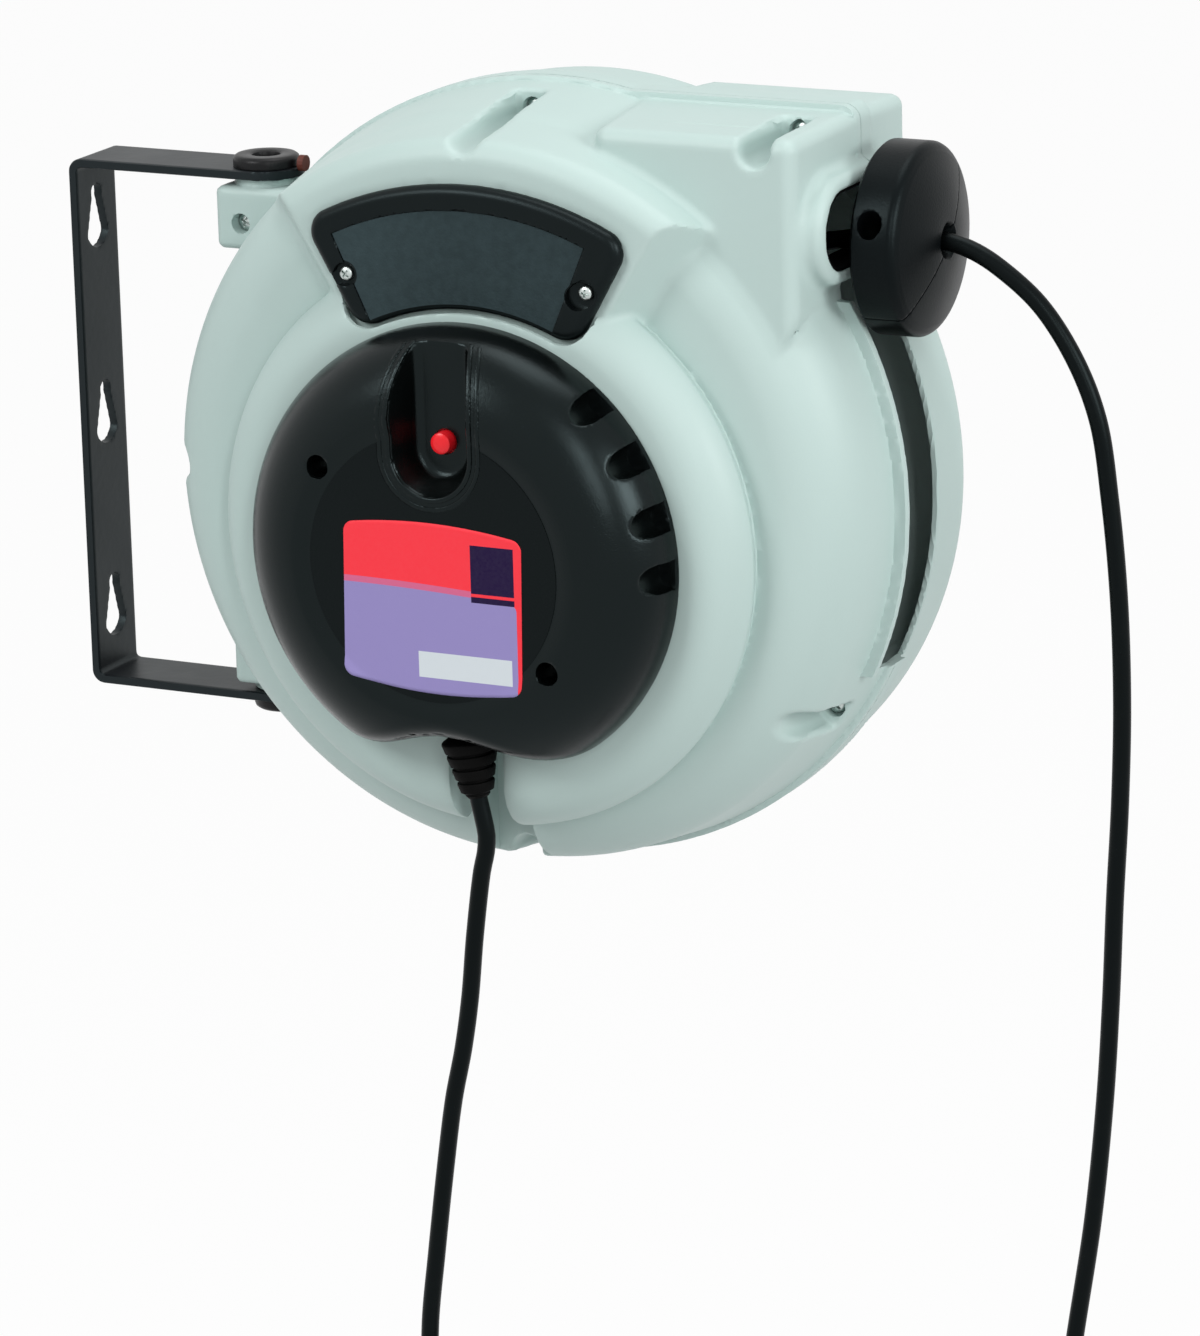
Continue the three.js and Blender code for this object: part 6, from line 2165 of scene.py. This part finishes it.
# ---------------------------------------------------------------- cords
@dataclass
class Cords:
    """The outlet cord and the supply lead with its tied hank."""

    feed_end: float = 170.4 + 19.6 + 11 - 9
    socket_top: float = -556.0
    supply_depth: float = -112.0
    relief_pivot: tuple[float, float] = (1.6, -82.5)
    relief_lean: float = 8.0
    hank_start: float = -446.0
    hank_x: float = -30.0
    hank_half: float = 70.0
    hank_outer: float = 38.0
    hank_pitch: float = 10.2
    hank_layer: float = 9.8
    hank_waist: float = 14.0

    def outlet_line(self) -> Array:
        """The outlet cord's middle line, from the stop to the socket.

        Returns:
            (n, 3) points.
        """
        flat = [
            (self.feed_end + 0.3, MOUTH_RISE), (self.feed_end + 4, MOUTH_RISE), (203, 140.6), (214.5, 137),
            (226.5, 130.4), (246.2, 114.6), (263.4, 90.1), (274.6, 62.7), (280.4, 25.4), (284.6, -20),
            (286.1, -69.8), (285, -118), (282.2, -167.7), (280, -218), (276.8, -267.6), (270.5, -328),
            (260.9, -389.5), (253.5, -440), (249, -490), (248, -530), (248, self.socket_top),
        ]
        return smooth_line([at_hub(x, 0, z) for x, z in flat])

    def relief_axis(self, z: float) -> tuple[float, float]:
        """The strain relief's axis at a height, from the drum's axis."""
        x0, z0 = self.relief_pivot
        return (x0 - (z - z0) * math.tan(math.radians(self.relief_lean)), z)

    def waist(self, z: Array) -> Array:
        """How far a run is drawn in at a height: a squared cosine that is widest half way up."""
        drawn = self.hank_waist * np.cos(np.pi * z / (2 * self.hank_half)) ** 2
        return np.where(np.abs(z) < self.hank_half, drawn, 0.0)

    def loops(self, steps: int = 72) -> Array:
        """Two long loops, one spiralling in and one out, then a run down to the plug.

        A loop is a run down, a half circle, a run up and a half circle, with the radius
        falling or growing in step with the turns.

        Args:
            steps: points in one loop.

        Returns:
            (n, 3) points.
        """
        loops = np.arange(2 * steps + 1) / steps
        part = loops % 1.0
        r = self.hank_outer - self.hank_pitch * np.minimum(loops, 2 - loops)
        half, run = self.hank_half, 2 * self.hank_half
        down = half - run * part * 6
        up = run * (part - 0.5) * 6 - half
        low = np.pi * (part - 1 / 6) * 3
        high = np.pi * (part - 2 / 3) * 3
        picks = [part < 1 / 6, part < 1 / 2, part < 2 / 3]
        x = np.select(picks, [-r + self.waist(down), -r * np.cos(low), r - self.waist(up)], r * np.cos(high))
        z = np.select(picks, [down, -half - r * np.sin(low), up], half + r * np.sin(high))
        layer = np.clip((loops - 0.75) * 2, 0, 1)
        tail_z = half - (run + self.hank_outer + 12) * np.arange(1, 41) / 40
        tail_x = -self.hank_outer + self.waist(tail_z)
        x = np.concatenate([[-self.hank_outer], x, tail_x, tail_x[-1:]])
        z = np.concatenate([[half + 2 * CORD_RADIUS], z, tail_z, tail_z[-1:] - 2 * CORD_RADIUS])
        layer = np.concatenate([[0.0], layer, np.ones(len(tail_z) + 1)])
        middle_x, middle_z = self.hank_x + self.hank_outer, self.hank_start - half
        y = self.supply_depth + layer * self.hank_layer
        return np.stack([HUB[0] + middle_x + x, y, HUB[1] + middle_z + z], axis=1)

    def supply_line(self) -> Array:
        """The supply lead's middle line, from the terminal block through the hank to the plug.

        Returns:
            (n, 3) points.
        """
        flat = [
            *[self.relief_axis(z) for z in (-75, -85, -96, -107, -118)], (8.6, -127), (10, -135), (9.4, -143),
            (7, -153), (2.2, -185), (-1.6, -217.5), (-6, -243), (-12, -269.2), (-17.8, -305), (-24.2, -350),
            (-28.8, -385), (self.hank_x, -415), (self.hank_x, self.hank_start + 2 * CORD_RADIUS + 0.3),
        ]
        hanging = smooth_line([at_hub(x, self.supply_depth, z) for x, z in flat])
        return np.vstack([hanging, self.loops()])

    def build(self) -> None:
        path, line = self.outlet_line(), self.supply_line()
        outlet = tube("outlet_lead", path, CORD_RADIUS)
        fit(outlet, "lead", "cord", CORD_BLACK, "outlet_cord")
        supply = tube("supply_lead", line, CORD_RADIUS)
        fit(supply, "casing", "cord", CORD_BLACK, "supply_cord", "supply_hank")
        log.info("cords: outlet %.3f m, supply %.3f m", length_of(path) * MM, length_of(line) * MM)


# ---------------------------------------------------------------- studio
@dataclass
class Studio:
    """Camera, lights and floor. Lamps and the floor are placed in metres."""

    azimuth: float = 26.73
    roll: float = 1.48
    back: tuple[float, float, float] = (0.43284, -0.85947, 0.27195)
    focal_px: float = 6500.0
    distance: float = 3016.2
    target: tuple[float, float, float] = (325.9, -102.0, -20.05)
    frame_px: tuple[float, float] = (1200.0, 1336.0)
    sensor: float = 36.0
    floor_z: float = -0.69
    floor_side: float = 9.0
    floor_far: float = 30.0
    floor_white: float = 0.96
    fill: float = 0.44
    aim: tuple[float, float, float] = (0.26, -0.05, 0.05)
    lamps: tuple[tuple[str, tuple[float, ...], tuple[float, float], float], ...] = (
        ("key", (-1.1, -2.2, 1.9), (1.2, 1.2), 41),
        ("side", (2.6, -0.6, 0.9), (1.0, 1.0), 30),
        ("top", (0.5, 0.3, 2.4), (1.4, 1.4), 20),
        ("strip", (2.27, -2.62, 1.57), (0.36, 1.7), 24),
    )

    def camera(self) -> None:
        """Stand the camera back from its target along the measured direction, with the measured roll."""
        roll, azimuth = math.radians(self.roll), math.radians(self.azimuth)
        back = Vector(self.back).normalized()
        right = Vector((math.cos(azimuth), math.sin(azimuth), 0.0))
        right = (right - back * right.dot(back)).normalized()
        up = back.cross(right)
        turned_right = right * math.cos(roll) - up * math.sin(roll)
        turned_up = right * math.sin(roll) + up * math.cos(roll)
        place = (Vector(self.target) + back * self.distance) * MM
        camera = bpy.data.objects.new("camera", bpy.data.cameras.new("camera"))
        bpy.context.scene.collection.objects.link(camera)
        turn = Matrix((turned_right, turned_up, back)).transposed().to_4x4()
        camera.matrix_world = Matrix.Translation(place) @ turn
        camera.data.sensor_width = self.sensor
        camera.data.sensor_fit = "AUTO"
        camera.data.lens = self.focal_px * self.sensor / max(self.frame_px)
        camera.data.clip_end = 100
        bpy.context.scene.camera = camera

    def lamp(self, name: str, place: Sequence[float], size: tuple[float, float], power: float) -> None:
        """A soft lamp, turned to the reel.

        Args:
            name: its name.
            place: where it stands.
            size: its width and height.
            power: its watts.
        """
        data = bpy.data.lights.new(name, "AREA")
        data.shape = "RECTANGLE"
        data.energy, data.size, data.size_y = power, size[0], size[1]
        lamp = bpy.data.objects.new(name, data)
        lamp.location = place
        lamp.rotation_euler = (Vector(self.aim) - Vector(place)).to_track_quat("-Z", "Y").to_euler()
        bpy.context.scene.collection.objects.link(lamp)

    def floor(self) -> None:
        """A wide floor well under the cords: white where it is seen, matt grey where it is lit."""
        side, far, z = self.floor_side, self.floor_far, self.floor_z
        points = np.array([[-side, -side, z], [side, -side, z], [side, far, z], [-side, far, z]]) / MM
        floor = put_mesh("floor", points, [[0, 1, 2, 3]], False)
        net = Net(bpy.data.materials.new("floor_white"))
        matt = net.node("ShaderNodeBsdfDiffuse", None, {"Color": (0.6, 0.6, 0.6)})
        glow = net.node("ShaderNodeEmission", None, {"Color": (1.0, 1.0, 1.0), "Strength": 1.0})
        both = net.node("ShaderNodeMixShader", None, {0: net.seen() * self.floor_white, 1: matt, 2: glow})
        net.node("ShaderNodeOutputMaterial", None, {0: both})
        floor.data.materials.append(net.owner)

    def world(self) -> None:
        """A backdrop that is white where it is seen; as light it is even and soft."""
        world = bpy.data.worlds.new("studio")
        bpy.context.scene.world = world
        net = Net(world)
        level = net.seen() * (1.0 - self.fill) + self.fill
        ground = net.node("ShaderNodeBackground", None, {"Color": (1.0, 1.0, 1.0), "Strength": level})
        net.node("ShaderNodeOutputWorld", None, {"Surface": ground})

    def build(self) -> None:
        """Set the whole studio up."""
        self.camera()
        self.world()
        self.floor()
        for lamp in self.lamps:
            self.lamp(*lamp)
        bpy.context.scene.view_settings.view_transform = "Standard"


# ---------------------------------------------------------------- CAD nodes
NODE_FINISHES: dict[Finish, tuple[str, ...]] = {
    CASING_GREY: ("front_casing", "rear_casing"),
    BLACK_PLASTIC: ("connection_cover", "arc_panel", "swivel_pin_top", "swivel_pin_bottom", "hank_tie"),
    RELIEF_BLACK: ("mouth_guide", "drum_front_half", "drum_rear_half", "wound_cable", "winding_core"),
    STOP_BLACK: ("stop_half_front", "stop_half_rear"),
    BUTTON_RED: ("reset_button",),
    BRACKET_BLACK: ("wall_bracket",),
    BUFFER_BROWN: ("swivel_buffer",),
    ZINC: (
        *[f"casing_screw_{number}" for number in range(1, 6)], "lug_screw_top", "lug_screw_bottom",
        "arc_panel_screw_left", "arc_panel_screw_right", "cover_screw_1", "cover_screw_2",
        "stop_screw_1", "stop_screw_2", "plug_pin_1", "plug_pin_2", "shaft_nut",
    ),
    BRIGHT_STEEL: (
        "main_shaft", "pawl", "pawl_pin", "pawl_spring", "button_spring", "ratchet_ring", "spring_cassette",
        "mainspring",
    ),
    BRASS: ("slip_ring_1", "slip_ring_2", "slip_ring_3", "brush_1", "brush_2", "brush_3"),
    CORD_BLACK: ("feed_cable", "strain_relief", "outlet_socket", "supply_plug"),
    RESIN_BROWN: (
        "thermal_cutout", "terminal_block", "brush_holder", "slip_ring_hub", "drum_bush_front",
        "drum_bush_rear",
    ),
}


def main() -> None:
    """Dress the frame, sub-assembly by sub-assembly."""
    logging.basicConfig(level=logging.INFO, format="%(name)s: %(message)s")
    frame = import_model()
    Studio().build()
    for finish, nodes in NODE_FINISHES.items():
        for node in nodes:
            finish.dress(frame["nodes"][node])
    for assembly in (Casing, ServiceCover, ArcPanel, CordStop, Bracket, CordEnds, Cords, Screws):
        assembly().build()


if __name__ == "__main__":
    main()
